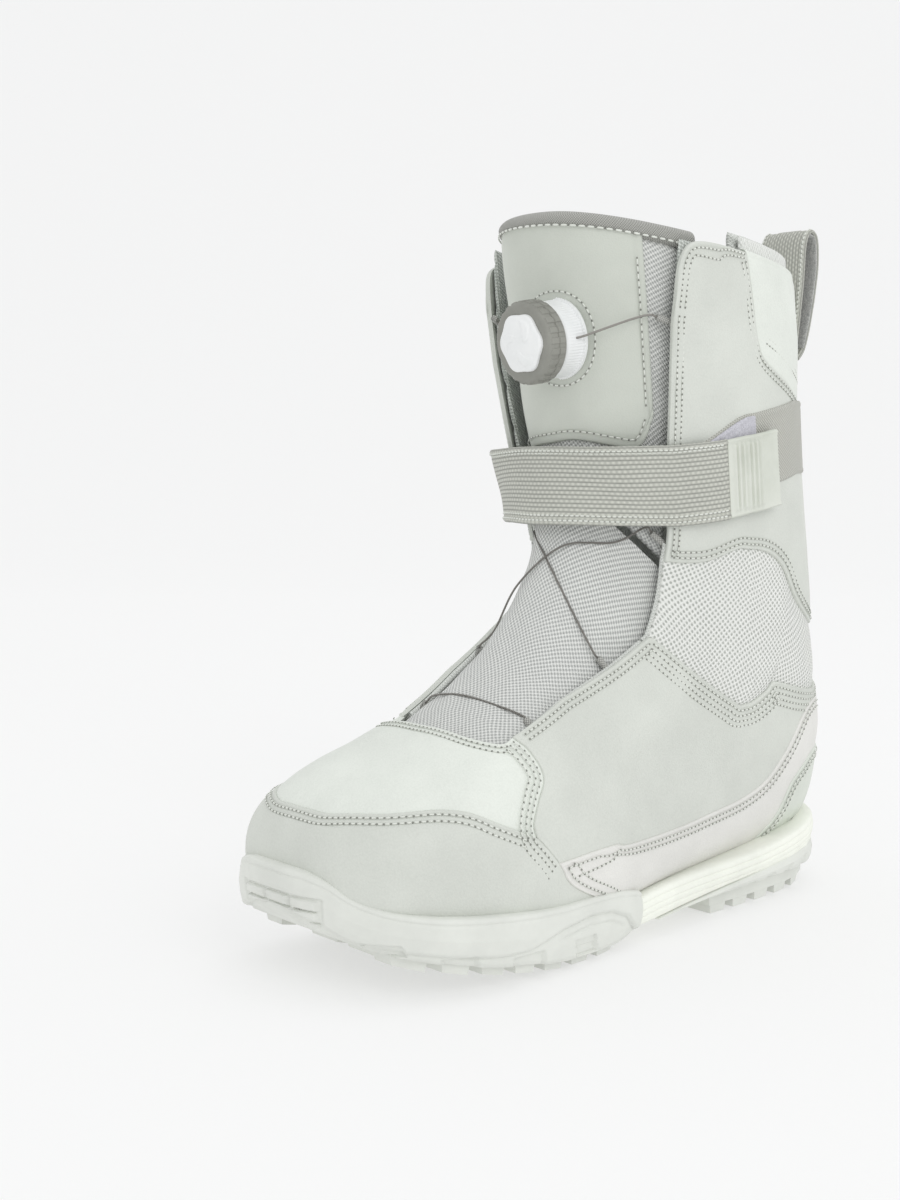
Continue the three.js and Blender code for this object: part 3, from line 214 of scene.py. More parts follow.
REAR = spline([(17, 95), (16.41, 97), (15.99, 99), (15.79, 104), (15.69, 124), (15.6, 150), (15.55, BACK)])


def from_edge(side, line):
    """The seam with its front end drawn to this side's flap edge, over its first stretch."""
    line = np.array(line)
    k = len(line) // 8
    line[:k, 1] += (edge_u(side, line[0, 0]) - line[0, 1]) * np.linspace(1, 0, k)
    return line


def length_along(points):
    return np.concatenate([[0], np.cumsum(np.linalg.norm(np.diff(points, axis=0), axis=1))])


def at_shares(line, shares, skin):
    """Points of a line of (s, u) at these shares of its length in space."""
    run = length_along(skin(line[:, 0], line[:, 1], 0.0 * line[:, 0]))
    return np.stack([np.interp(shares * run[-1], run, line[:, k]) for k in (0, 1)], -1)


FINE = np.array([0, .25, .55, .95, 1.5, 2.1, 2.7, 3.4, 4.2, 5.2, 6.4, 8.0])


def spread(length, pitch):
    """Shares of a length: close together within 8 mm of each end, pitch mm apart between."""
    fine = FINE[FINE < length * 0.35]
    middle = np.arange(1, max(2, math.ceil((length - 2 * fine[-1]) / pitch)))
    middle = fine[-1] + middle * (length - 2 * fine[-1]) / (middle[-1] + 1)
    return np.concatenate([fine, middle, (length - fine)[::-1]]) / length


def patch(bottom, top, left, right, pitch=2.6, chart=False, skin=shell):
    """A Coons patch of (s, u): the four sides blended, less the blend of the four corners. Near
    the toe it works in (s cos u, s sin u), where the toe's tip is an ordinary point."""
    size = [length_along(skin(e[:, 0], e[:, 1], 0 * e[:, 0]))[-1] for e in (bottom, top, left, right)]
    a = spread(max(size[0], size[1]), pitch)
    b = spread(max(size[2], size[3]), pitch)
    low, high = at_shares(bottom, a, skin), at_shares(top, a, skin)
    start, end = at_shares(left, b, skin), at_shares(right, b, skin)
    if chart:
        low, high, start, end = (
            np.stack([e[:, 0] * np.cos(np.radians(e[:, 1])), e[:, 0] * np.sin(np.radians(e[:, 1]))], -1)
            for e in (low, high, start, end))
    a, b = a[None, :, None], b[:, None, None]
    corners = (low[0] * (1 - a) + low[-1] * a) * (1 - b) + (high[0] * (1 - a) + high[-1] * a) * b
    grid = low[None] * (1 - b) + high[None] * b + start[:, None] * (1 - a) + end[:, None] * a - corners
    if chart:
        return np.hypot(grid[..., 0], grid[..., 1]), np.degrees(np.arctan2(grid[..., 1], grid[..., 0]))
    return grid[..., 0], grid[..., 1]


def turned_over(grid):
    """The same grid on the medial side, its columns still running towards +u."""
    return grid[0][:, ::-1], -grid[1][:, ::-1]


# ---- meshes ------------------------------------------------------------------------------------

def mesh_piece(name, points, faces, material, body, uv=None, sharp=50):
    """One object in the row frame from points in mm; sharp is the angle past which an edge is hard."""
    points = np.asarray(points, float).reshape(-1, 3) * 0.001 + SHIFT
    mesh = bpy.data.meshes.new(name)
    mesh.from_pydata(points, [], faces if isinstance(faces, list) else faces.tolist())
    if uv is not None:
        layer = mesh.uv_layers.new(name="Cloth")
        corner = np.empty(len(mesh.loops), np.int32)
        mesh.loops.foreach_get("vertex_index", corner)
        layer.data.foreach_set("uv", (np.asarray(uv, float).reshape(-1, 2) * 0.001)[corner].ravel())
    mesh.polygons.foreach_set("use_smooth", np.ones(len(mesh.polygons), bool))
    mesh.set_sharp_from_angle(angle=math.radians(sharp))
    mesh.materials.append(material)
    obj = bpy.data.objects.new(name, mesh)
    bpy.context.scene.collection.objects.link(obj)
    if isinstance(body, str):
        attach(obj, body)
    else:
        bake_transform(obj)
    return obj


def quads(rows, columns, start=0, wrap=False):
    """Faces of a grid of points, turned to the side that columns crossed with rows point to."""
    i = np.arange(rows * columns).reshape(rows, columns) + start
    if wrap:
        i = np.concatenate([i, i[:, :1]], 1)
    return np.stack([i[:-1, :-1], i[:-1, 1:], i[1:, 1:], i[1:, :-1]], -1).reshape(-1, 4)


def grid_uv(points):
    """Distances along the middle row and the middle column of a grid."""
    rows, columns = points.shape[:2]
    across = np.concatenate([np.zeros((rows, 1)), np.cumsum(
        np.linalg.norm(np.diff(points, axis=1), axis=2), 1)], 1)
    up = np.concatenate([np.zeros((1, columns)), np.cumsum(
        np.linalg.norm(np.diff(points, axis=0), axis=2), 0)], 0)
    across = across - across[:, columns // 2][:, None]
    up = up - up[rows // 2][None]
    return np.stack([across, up], -1)


def closed_grids(outside, inside):
    """An outer and an inner grid joined along their four edges."""
    rows, columns = outside.shape[:2]
    n = rows * columns
    i = np.arange(n).reshape(rows, columns)
    ring = np.concatenate([i[0, :-1], i[:-1, -1], i[-1, :0:-1], i[:0:-1, 0]])
    after = np.roll(ring, -1)
    wall = np.stack([after, ring, ring + n, after + n], -1)
    faces = np.concatenate([quads(rows, columns), quads(rows, columns, n)[:, ::-1], wall])
    return np.concatenate([outside.reshape(-1, 3), inside.reshape(-1, 3)]), faces


def borders(points):
    """Distance in mm of each point of a grid from its left, right, bottom and top edges."""
    across = np.linalg.norm(np.diff(points, axis=1), axis=2)
    up = np.linalg.norm(np.diff(points, axis=0), axis=2)
    left = np.pad(np.cumsum(across, 1), ((0, 0), (1, 0)))
    low = np.pad(np.cumsum(up, 0), ((1, 0), (0, 0)))
    return {"l": left, "r": left[:, -1:] - left, "b": low, "t": low[-1:] - low}


def ripple(p, size, seed):
    """Soft unevenness, -1 to 1: the product of sines of slanted coordinates, size mm long."""
    k = 2 * math.pi / size
    a = np.sin(k * (p[..., 0] * 0.8 + p[..., 1] * 0.6 + seed)) * np.sin(k * (p[..., 2] - p[..., 1] * 0.4 + 2 * seed))
    b = np.sin(k * 1.7 * (p[..., 1] - p[..., 2] * 0.5 + 3 * seed)) * np.sin(k * 1.3 * (p[..., 0] + seed))
    return 0.6 * a + 0.4 * b


def panel(name, grid, material, body, nodes, lift=0.0, raised="", tuck="", rows=None, crown=0.5,
          wrinkle=0.12, skin=shell, thick=LEATHER, sink=0.28):
    """A leather panel over a grid of (s, u). Its face stands lift mm off the last and swells a
    little between its seams; raised edges roll down, tucked ones run on under the next panel,
    and each row of stitches (side, mm from it) draws a shallow furrow."""
    crown = crown * settings().swell
    s, u = grid
    base = skin(s, u, 0 * s)
    away = borders(base)
    out = normal(s, u)
    near = np.minimum.reduce([away[k] for k in "lrbt"])
    rise = lift + crown * (1 - np.exp(-near / 9)) + wrinkle * ripple(base, 34, len(name)) * smooth(near, 2, 12)
    for side in raised:
        x = np.clip(1 - away[side] / 0.95, 0, 1)
        rise = rise - 0.95 * (1 - np.sqrt(1 - x**2))
    for side, mm in rows or []:
        rise = rise - sink * np.exp(-(((away[side] - mm) / 0.8) ** 2))
    for side in tuck:
        rise = rise - 0.9 * (away[side] <= 0.01)
    moved = base.copy()
    for side in tuck:
        row = {"l": (slice(None), 0), "r": (slice(None), -1), "b": (0,), "t": (-1,)}[side]
        nxt = {"l": (slice(None), 2), "r": (slice(None), -3), "b": (2,), "t": (-3,)}[side]
        moved[row] = moved[row] + unit(base[row] - base[nxt]) * 1.3
    rise = np.maximum(rise, lift - thick + 0.25)
    outside = moved + out * rise[..., None]
    inside = moved + out * (lift - thick)
    points, faces = closed_grids(outside, inside)
    uv = np.tile(grid_uv(outside).reshape(-1, 2), (2, 1))
    obj = mesh_piece(name, points, faces, material, body, uv)
    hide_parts(*nodes)
    return obj


def pad(name, s, u, outer, inner_d, material, body, nodes, skin=inner, roll="lrbt", radius=3.0,
        channels=None, soft=0.0):
    """A padded sheet: its two faces draw together over the last radius mm along a quarter
    ellipse at each rolled edge, and sewn channels pull the outer face in."""
    base = skin(s, u, 0 * s)
    away = borders(base)
    out = normal(s, u)
    half = (outer - inner_d) / 2
    middle = (outer + inner_d) / 2
    for side in roll:
        x = np.clip(1 - away[side] / radius, 0, 1)
        half = half * np.maximum(np.sqrt(1 - x**2), 0.06)
    face = half.copy() + soft * ripple(base, 22, 3)
    if channels is not None:
        face = face - channels(base, away)
    points, faces = closed_grids(base + out * (middle + face)[..., None], base + out * (middle - half)[..., None])
    uv = np.tile(grid_uv(base).reshape(-1, 2), (2, 1))
    obj = mesh_piece(name, points, faces, material, body, uv, sharp=70)
    if nodes:
        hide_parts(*nodes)
    return obj


def tube(name, points, radius, material, body, nodes, sides=10, step=1.2):
    """A round profile carried along a Catmull-Rom curve square to it. Its ends are closed."""
    line = spline(points, 24)
    run = length_along(line)
    n = max(6, int(run[-1] / step))
    line = np.stack([np.interp(np.linspace(0, run[-1], n), run, line[:, k]) for k in range(3)], -1)
    t = unit(np.gradient(line, axis=0))
    side = unit(np.cross(t, [0.02, 0.03, 1.0]))
    up = np.cross(side, t)
    angle = np.arange(sides) * 2 * math.pi / sides
    ring = np.cos(angle)[None, :, None] * side[:, None] + np.sin(angle)[None, :, None] * up[:, None]
    surface = line[:, None] + radius * ring
    faces = quads(n, sides, wrap=True)[:, ::-1].tolist()
    faces += [list(range(sides)), list(range(n * sides - 1, (n - 1) * sides - 1, -1))]
    uv = np.stack(np.broadcast_arrays(angle[None] * radius, np.linspace(0, run[-1], n)[:, None]), -1)
    obj = mesh_piece(name, surface, faces, material, body, uv)
    if nodes:
        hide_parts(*nodes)
    return obj


# ---- stitches: one bead and its needle holes, repeated -----------------------------------------

SEWN = {}


def bead_shape(around=6):
    """An egg along x of half length 1: five rings whose radius is the root of 1 - x^4."""
    x = np.array([-1, -0.72, 0, 0.72, 1])
    r = np.sqrt(1 - x**4 * 0.93)
    a = np.arange(around) * 2 * math.pi / around
    points = np.stack([np.repeat(x, around), np.outer(r, np.cos(a)).ravel(), np.outer(r, np.sin(a)).ravel()], -1)
    faces = quads(len(x), around, wrap=True).tolist()
    faces += [list(range(around))[::-1], list(range(4 * around, 5 * around))]
    return points, faces


def sew(body, line, offset, lift, side=1, pitch=None, skin=shell, trim=(0.0, 0.0), width=0.36, group="upper"):
    """Stitches offset mm to one side of a line of (s, u): the offset is turned into steps of s
    and u by the surface's slopes, and a stitch sits in the middle of each pitch."""
    pitch = pitch or settings().stitch_pitch * 1000
    run = length_along(skin(line[:, 0], line[:, 1], 0 * line[:, 0]))
    n = max(8, int(run[-1] / 1.5))
    share = np.linspace(trim[0] / run[-1], 1 - trim[1] / run[-1], n)
    s, u = at_shares(line, share, skin).T
    p = skin(s, u, 0 * s)
    t, out = unit(np.gradient(p, axis=0)), normal(s, u)
    move = side * offset * unit(np.cross(out, t))
    ps, pu = (skin(s + 0.01, u, 0 * s) - p) / 0.01, (skin(s, u + 0.3, 0 * s) - p) / 0.3
    a, b, c = (ps * ps).sum(1), (ps * pu).sum(1), (pu * pu).sum(1)
    f, g = (ps * move).sum(1), (pu * move).sum(1)
    s, u = s + (c * f - b * g) / (a * c - b * b), u + (a * g - b * f) / (a * c - b * b)
    line = skin(s, u, 0 * s)
    run = length_along(line)
    ends = np.linspace(0, run[-1], max(2, int(round(run[-1] / pitch))) + 1)
    su = np.stack([s, u], -1)
    hole = np.stack([np.interp(ends, run, su[:, k]) for k in (0, 1)], -1)
    mid = (hole[1:] + hole[:-1]) / 2
    # a thread bead in the middle of each stitch, and a flat dark dot at each needle hole: painted shade in the hole
    for kind, q, half in (("thread", mid, (pitch * 0.34, width, width * 0.85)),
                          ("hole", hole, (0.42, 0.42, 0.16))):
        at = skin(q[:, 0], q[:, 1], lift + 0 * q[:, 0])
        ahead = unit(np.gradient(at, axis=0)) if len(at) > 1 else unit(np.ones((1, 3)))
        up = normal(q[:, 0], q[:, 1])
        SEWN.setdefault((body, kind, group), []).append((at, ahead, up, half))


def finish_sewing(body):
    """Puts every collected stitch of a body into a mesh of thread and one of needle holes for each group."""
    shape, shape_faces = bead_shape()
    for (key, kind, group), rows in list(SEWN.items()):
        if key != body:
            continue
        points, faces, start = [], [], 0
        for at, ahead, up, half in rows:
            side = np.cross(up, ahead)
            p = at[:, None] + sum((shape[:, k] * half[k])[None, :, None] * axis[:, None]
                                  for k, axis in enumerate((ahead, side, up)))
            points.append(p.reshape(-1, 3))
            shift = (np.arange(len(at)) * len(shape) + start)
            faces += [[v + int(b) for v in f] for b in shift for f in shape_faces]
            start += len(at) * len(shape)
        mesh_piece(f"{kind}_{key}_{group}", np.concatenate(points), faces, M[kind], body,
                   sharp=80)
        del SEWN[(key, kind, group)]


# ---- materials: colours as sRGB hex, sizes in millimetres ---------------------------------------

def colour(text):
    """sRGB hex to linear RGBA; a setting's three linear values pass through."""
    if not isinstance(text, str):
        return (*text[:3], 1.0)
    v = np.array([int(text[i:i + 2], 16) / 255 for i in (1, 3, 5)])
    v = np.where(v <= 0.04045, v / 12.92, ((v + 0.055) / 1.055) ** 2.4)
    return (*v.tolist(), 1.0)


def colour_setting(name, description, text):
    """A colour a user can change, with its default given as sRGB hex."""
    return bpy.props.FloatVectorProperty(name=name, description=description, subtype="COLOR", size=3,
                                         min=0.0, max=1.0, default=colour(text)[:3])


class BootSettings(bpy.types.PropertyGroup):
    """Sizes and colours to set before the operators run"""
    stitch_pitch: bpy.props.FloatProperty(
        name="Stitch pitch", description="Length of one stitch on the long seams of the leather",
        default=0.0027, min=0.0015, max=0.006, precision=4, unit="LENGTH")
    swell: bpy.props.FloatProperty(
        name="Leather swell", description="How far the leather stands out between its seams; 1 is this boot",
        default=1.0, min=0.0, max=1.5, subtype="FACTOR")
    upper: colour_setting("Upper leather", "Quarters and cuff", "#d9dcd5")
    vamp: colour_setting("Vamp leather", "Vamp over the toes", "#e9ede6")
    foxing: colour_setting("Foxing leather", "Warm grey strip along the foot", "#e9e8e4")
    counter: colour_setting("Heel leather", "Counter round the heel", "#dfe4db")
    shield: colour_setting("Tongue shield", "Smooth panel round the dial", "#ced2c9")
    webbing: colour_setting("Strap webbing", "Raised yarns of the strap", "#d0d1c8")
    rubber: colour_setting("Outsole rubber", "Cup wall and tread", "#e2e4de")
    foam: colour_setting("Midsole foam", "Grooved foam wall", "#f5f7ee")
    grip: colour_setting("Dial grip", "Soft ring round the dial", "#94948d")


def settings():
    """The values that the operators read."""
    return bpy.context.scene.boot


def shaded(value, share):
    """A setting's colour made darker."""
    return tuple(share * v for v in value)


def add(tree, kind, links=None, **values):
    """A node with its properties or input values set and its inputs linked."""
    node = tree.nodes.new(kind)
    for key, value in values.items():
        if hasattr(node, key) and not key[0].isupper():
            setattr(node, key, value)
        else:
            node.inputs[key.replace("_", " ")].default_value = value
    for key, source in (links or {}).items():
        tree.links.new(source, node.inputs[key])
    return node


def math_node(tree, operation, a, b=None, c=None):
    node = tree.nodes.new("ShaderNodeMath")
    node.operation = operation
    for k, v in enumerate((a, b, c)):
        if v is None:
            continue
        if isinstance(v, (int, float)):
            node.inputs[k].default_value = v
        else:
            tree.links.new(v, node.inputs[k])
    return node.outputs[0]


def new_material(name, hex_colour, roughness=0.5, **shader):
    mat = bpy.data.materials.new(name)
    mat.use_nodes = True
    tree = mat.node_tree
    bsdf = tree.nodes["Principled BSDF"]
    bsdf.inputs["Base Color"].default_value = colour(hex_colour)
    bsdf.inputs["Roughness"].default_value = roughness
    for key, value in shader.items():
        bsdf.inputs[key.replace("_", " ")].default_value = value
    return mat, tree, bsdf


def tint(tree, bsdf, factor, dark, light):
    """Base colour between two colours by a factor from 0 to 1."""
    ramp = tree.nodes.new("ShaderNodeMix")
    ramp.data_type = "RGBA"
    ramp.inputs[6].default_value, ramp.inputs[7].default_value = colour(dark), colour(light)
    tree.links.new(factor, ramp.inputs[0])
    tree.links.new(ramp.outputs[2], bsdf.inputs["Base Color"])


def bump(tree, bsdf, height, mm, strength=1.0, after=None):
    node = tree.nodes.new("ShaderNodeBump")
    node.inputs["Strength"].default_value = strength
    node.inputs["Distance"].default_value = mm * 0.001
    tree.links.new(height, node.inputs["Height"])
    if after is not None:
        tree.links.new(after, node.inputs["Normal"])
    tree.links.new(node.outputs[0], bsdf.inputs["Normal"])
    return node.outputs[0]


def spread_out(tree, value, lo, hi, to_lo=0.0, to_hi=1.0):
    node = tree.nodes.new("ShaderNodeMapRange")
    node.inputs[1].default_value, node.inputs[2].default_value = lo, hi
    node.inputs[3].default_value, node.inputs[4].default_value = to_lo, to_hi
    tree.links.new(value, node.inputs[0])
    return node.outputs[0]


def leather(name, light, dark, grain=0.9, depth=0.10, rough=0.52):
    """Full-grain leather: cells of grain with fine creases over them, cloudy tone, uneven sheen."""
    mat, tree, bsdf = new_material(name, light, rough, Coat_Weight=0.06, Coat_Roughness=0.45,
                                   Specular_IOR_Level=0.42)
    where = add(tree, "ShaderNodeTexCoord").outputs["Object"]
    cells = add(tree, "ShaderNodeTexVoronoi", {"Vector": where}, feature="F1", Scale=1000 / grain)
    fine = add(tree, "ShaderNodeTexNoise", {"Vector": where}, Scale=1900.0, Detail=2.0, Roughness=0.6)
    cloud = add(tree, "ShaderNodeTexNoise", {"Vector": where}, Scale=28.0, Detail=4.0, Roughness=0.55)
    height = math_node(tree, "MULTIPLY_ADD", cells.outputs["Distance"], -1.0, fine.outputs[0])
    bump(tree, bsdf, height, depth, 0.7)
    tone = math_node(tree, "MULTIPLY_ADD", cells.outputs["Distance"], -0.22, cloud.outputs[0])
    tint(tree, bsdf, spread_out(tree, tone, 0.18, 0.62), dark, light)
    tree.links.new(spread_out(tree, cloud.outputs[0], 0.3, 0.7, rough + 0.07, rough - 0.07),
                   bsdf.inputs["Roughness"])
    return mat


def cloth_waves(tree, across, along, turned=False):
    """Beads of a weave from the piece's own surface coordinates: the product of two sines."""
    uv = add(tree, "ShaderNodeUVMap", uv_map="Cloth").outputs[0]
    xyz = add(tree, "ShaderNodeSeparateXYZ", {"Vector": uv})
    x, y = xyz.outputs[0], xyz.outputs[1]
    if turned:
        x, y = math_node(tree, "ADD", x, y), math_node(tree, "SUBTRACT", x, y)
    a = math_node(tree, "SINE", math_node(tree, "MULTIPLY", x, 2000 * math.pi / across))
    b = math_node(tree, "SINE", math_node(tree, "MULTIPLY", y, 2000 * math.pi / along))
    return a, b, math_node(tree, "MULTIPLY", a, b)


def woven(name, light, dark, across, along, depth=0.3, rough=0.75, lo=-0.25, hi=0.35, turned=False, fuzz=0.12,
          rows=0.0):
    """A weave whose beads stand in staggered rows, with dark gaps between and loose fibres."""
    mat, tree, bsdf = new_material(name, light, rough, Sheen_Weight=fuzz, Sheen_Roughness=0.5)
    line, beads = cloth_waves(tree, across, along, turned)[1:]
    if rows:
        gap = math_node(tree, "SUBTRACT", math_node(tree, "POWER", math_node(tree, "ABSOLUTE", line), 0.6), 1.0)
        beads = math_node(tree, "MULTIPLY_ADD", gap, rows * 2, math_node(tree, "MULTIPLY", beads, 0.45))
    where = add(tree, "ShaderNodeTexCoord").outputs["Object"]
    fibre = add(tree, "ShaderNodeTexNoise", {"Vector": where}, Scale=1500.0, Detail=3.0).outputs[0]
    cloud = add(tree, "ShaderNodeTexNoise", {"Vector": where}, Scale=60.0, Detail=2.0).outputs[0]
    # the colour follows the bead height that also drives the bump: painted shade in the gaps, with random fibre and
    # cloud tone over it
    bead_shade_and_tone = math_node(tree, "MULTIPLY_ADD", cloud, 0.25, math_node(tree, "MULTIPLY_ADD", fibre, 0.3, beads))
    tint(tree, bsdf, spread_out(tree, bead_shade_and_tone, lo + 0.27, hi + 0.27), dark, light)
    bump(tree, bsdf, math_node(tree, "MULTIPLY_ADD", fibre, 0.25, beads), depth, 0.8)
    return mat


def felt(name, light, dark, rough=0.9):
    """Brushed felt: tangled fibres at two sizes with speckles."""
    mat, tree, bsdf = new_material(name, light, rough, Sheen_Weight=0.35, Sheen_Roughness=0.6)
    where = add(tree, "ShaderNodeTexCoord").outputs["Object"]
    fibre = add(tree, "ShaderNodeTexNoise", {"Vector": where}, Scale=900.0, Detail=5.0, Roughness=0.7,
                Distortion=1.2).outputs[0]
    tint(tree, bsdf, spread_out(tree, fibre, 0.36, 0.62), dark, light)
    bump(tree, bsdf, fibre, 0.35, 0.8)
    return mat


def moulded(name, light, dark, rough=0.45, grain=1.6, depth=0.03, **shader):
    """Moulded rubber, foam or plastic: faint texture from the mould, handling marks in the sheen."""
    mat, tree, bsdf = new_material(name, light, rough, **shader)
    where = add(tree, "ShaderNodeTexCoord").outputs["Object"]
    fine = add(tree, "ShaderNodeTexNoise", {"Vector": where}, Scale=1000 / grain * 2, Detail=3.0).outputs[0]
    cloud = add(tree, "ShaderNodeTexNoise", {"Vector": where}, Scale=35.0, Detail=5.0, Roughness=0.6).outputs[0]
    tint(tree, bsdf, spread_out(tree, cloud, 0.32, 0.6), dark, light)
    tree.links.new(spread_out(tree, cloud, 0.3, 0.7, rough + 0.08, rough - 0.06), bsdf.inputs["Roughness"])
    bump(tree, bsdf, fine, depth, 0.6)
    return mat


def steel_cord(name, light, dark):
    """Twisted steel lace: slanted strands round the wire."""
    mat, tree, bsdf = new_material(name, light, 0.38, Metallic=0.55)
    uv = add(tree, "ShaderNodeUVMap", uv_map="Cloth").outputs[0]
    xyz = add(tree, "ShaderNodeSeparateXYZ", {"Vector": uv})
    twist = math_node(tree, "ADD", math_node(tree, "MULTIPLY", xyz.outputs[0], 14000.0),
                      math_node(tree, "MULTIPLY", xyz.outputs[1], 4200.0))
    strand = math_node(tree, "SINE", twist)
    # the colour follows the strands' height: painted shade in the grooves between them
    tint(tree, bsdf, spread_out(tree, strand, -1.0, 0.6), dark, light)
    bump(tree, bsdf, strand, 0.12, 0.9)
    return mat


def make_materials():
    """Every finish of the boot, each named for the real material."""
    m, hue = {}, settings()
    m["upper"] = leather("Leather_pale_mint_full_grain", hue.upper, shaded(hue.upper, 0.89))
    m["vamp"] = leather("Leather_offwhite_vamp", hue.vamp, shaded(hue.vamp, 0.89), rough=0.48)
    m["foxing"] = leather("Leather_warm_grey_foxing", hue.foxing, shaded(hue.foxing, 0.88), grain=0.8)
    m["counter"] = leather("Leather_mint_grey_heel", hue.counter, shaded(hue.counter, 0.89), rough=0.46)
    m["shield"] = leather("Synthetic_smooth_tongue_shield", hue.shield, shaded(hue.shield, 0.91),
                          grain=0.6, depth=0.05)
    m["thread"] = moulded("Thread_bonded_polyester", "#e6e8e2", "#d9dcd4", 0.6, 0.4, 0.05)
    # dark dots at the needle holes: painted shade inside each hole
    m["hole"] = moulded("Needle_holes_in_leather", "#8f9089", "#7f807a", 0.9, 0.4, 0.02)
    m["ankle_mesh"] = woven("Woven_ankle_mesh_coarse", "#f6f7f3", "#b4b7b1", 3.2, 2.8, 0.6, lo=-0.8, hi=0.1)
    m["tongue_mesh"] = woven("Woven_tongue_mesh_grey", "#ebece9", "#adafad", 2.5, 2.2, 0.35, lo=-0.7, hi=0.5)
    # the webbing's dark end is mostly painted shade in the gaps between its raised yarns
    m["webbing"] = woven("Polyester_webbing_warm_grey", hue.webbing, shaded(hue.webbing, 0.58), 2.4, 3.6, 0.4,
                         lo=-1.1, hi=0.3, rows=0.75)
    m["cord_edge"] = woven("Webbing_edge_cord", "#dadad2", "#9f9f96", 2.0, 2.4, 0.3)
    m["anchor"] = woven("Webbing_anchor_band", "#c9c9c2", "#a9a9a1", 1.6, 1.6, 0.2)
    m["lining"] = woven("Spacer_mesh_lining", "#dde1dc", "#b3b8b2", 3.2, 3.2, 0.5, turned=True)
    m["liner"] = woven("Liner_knit_fabric", "#e6e8e4", "#cfd2cd", 1.4, 1.4, 0.2)
    m["collar"] = woven("Collar_ribbed_knit_white", "#f2f3f0", "#d9dbd6", 1.6, 3.0, 0.25)
    m["binding"] = woven("Grosgrain_binding_grey", "#b9b9b4", "#8e8e89", 1.2, 1.2, 0.2)
    m["felt"] = felt("Wool_felt_speckled_grey", "#cfcfcc", "#8f9090")
    m["loop_pile"] = felt("Loop_pile_pale_violet_grey", "#d3d2da", "#b0afb8")
    m["rubber"] = moulded("Outsole_rubber_offwhite", hue.rubber, shaded(hue.rubber, 0.91), 0.55, 1.2, 0.05)
    m["foam"] = moulded("Midsole_EVA_foam_white", hue.foam, shaded(hue.foam, 0.91), 0.6, 0.9, 0.06)
    m["board"] = felt("Pressed_fibre_board", "#b3ada1", "#94907f")
    m["white_plastic"] = moulded("Moulded_nylon_white", "#f2f3f3", "#e8eaea", 0.32, 1.0, 0.02)
    m["grip"] = moulded("Soft_touch_rubber_grey", hue.grip, shaded(hue.grip, 0.79), 0.6, 0.5, 0.05)
    m["black"] = moulded("Acetal_black", "#26262a", "#18181b", 0.35, 0.8, 0.03)
    m["tab"] = moulded("Moulded_rubber_tab_pale", "#d9dcd3", "#cbcfc4", 0.5, 0.8, 0.04)
    m["lace"] = steel_cord("Steel_cable_nylon_coated", "#a9a6a1", "#66635e")
    m["guide"] = woven("Fabric_lace_loop", "#c6c6c1", "#8c8c88", 1.2, 1.2, 0.15)
    return m


CAD_FINISH = {
    "outsole_forefoot": "rubber", "outsole_heel": "rubber", "midsole": "foam", "lasting_board": "board",
    "footbed": "felt", "toe_puff": "board", "heel_stiffener": "board", "liner_foot": "liner",
    "reel_drive_disc": "white_plastic", "reel_spool": "white_plastic", "strap_ring": "black",
    "pull_loop_base": "anchor",
}
M = {}


# ---- the leather upper --------------------------------------------------------------------------

def side_name(side):
    return "lateral" if side > 0 else "medial"


def one_side(side, bottom, top, left, right, **how):
    """A panel's grid drawn on the lateral side, and turned over for the medial one."""
    if side > 0:
        return patch(bottom, top, left, right, **how)
    skin = how.pop("skin", shell)
    how["skin"] = lambda s, u, d: skin(s, -np.asarray(u, float), d)
    return turned_over(patch(bottom, top, left, right, **how))


def swap(letters, side):
    """Left and right exchange on the medial side."""
    return letters if side > 0 else letters.translate(str.maketrans("lr", "rl"))


def swap_rows(rows, side):
    return [(swap(letter, side), mm) for letter, mm in rows]


def make_vamp():
    """Toe cap, vamp and their stitches, over the toe chart."""
    toe_top = chain(mirrored(TOE_HALF)[::-1], TOE_HALF)
    far = FEATHER_HALF - [0, 360]
    bottom = chain(mirrored(FEATHER_HALF)[::-1], far)
    edge = chain(BAND, SHANK)[::-1]
    grid = patch(bottom, toe_top, mirrored(edge), edge, chart=True, pitch=2.4)
    panel("toe_cap_leather", grid, M["upper"], "foot", ["toe_cap"], lift=0.8, raised="t",
          tuck="lr", rows=[("t", 2.4), ("t", 5.0)], crown=0.6)
    throat = chain(mirrored(THROAT_HALF)[::-1], THROAT_HALF)
    grid = patch(toe_top, throat, mirrored(QUARTER)[::-1], QUARTER[::-1], chart=True, pitch=2.2)
    panel("vamp_leather", grid, M["vamp"], "foot", ["vamp"], lift=0.0, raised="t", tuck="blr",
          rows=[("t", 2.2), ("t", 4.6)], crown=0.6, wrinkle=0.2)
    for mm in (2.4, 5.0):
        sew("foot", toe_top, mm, 1.25, side=-1, trim=(5, 5))
    for mm in (2.2, 4.6):
        sew("foot", throat, mm, 0.5, side=-1, trim=(4, 4), pitch=2.4)


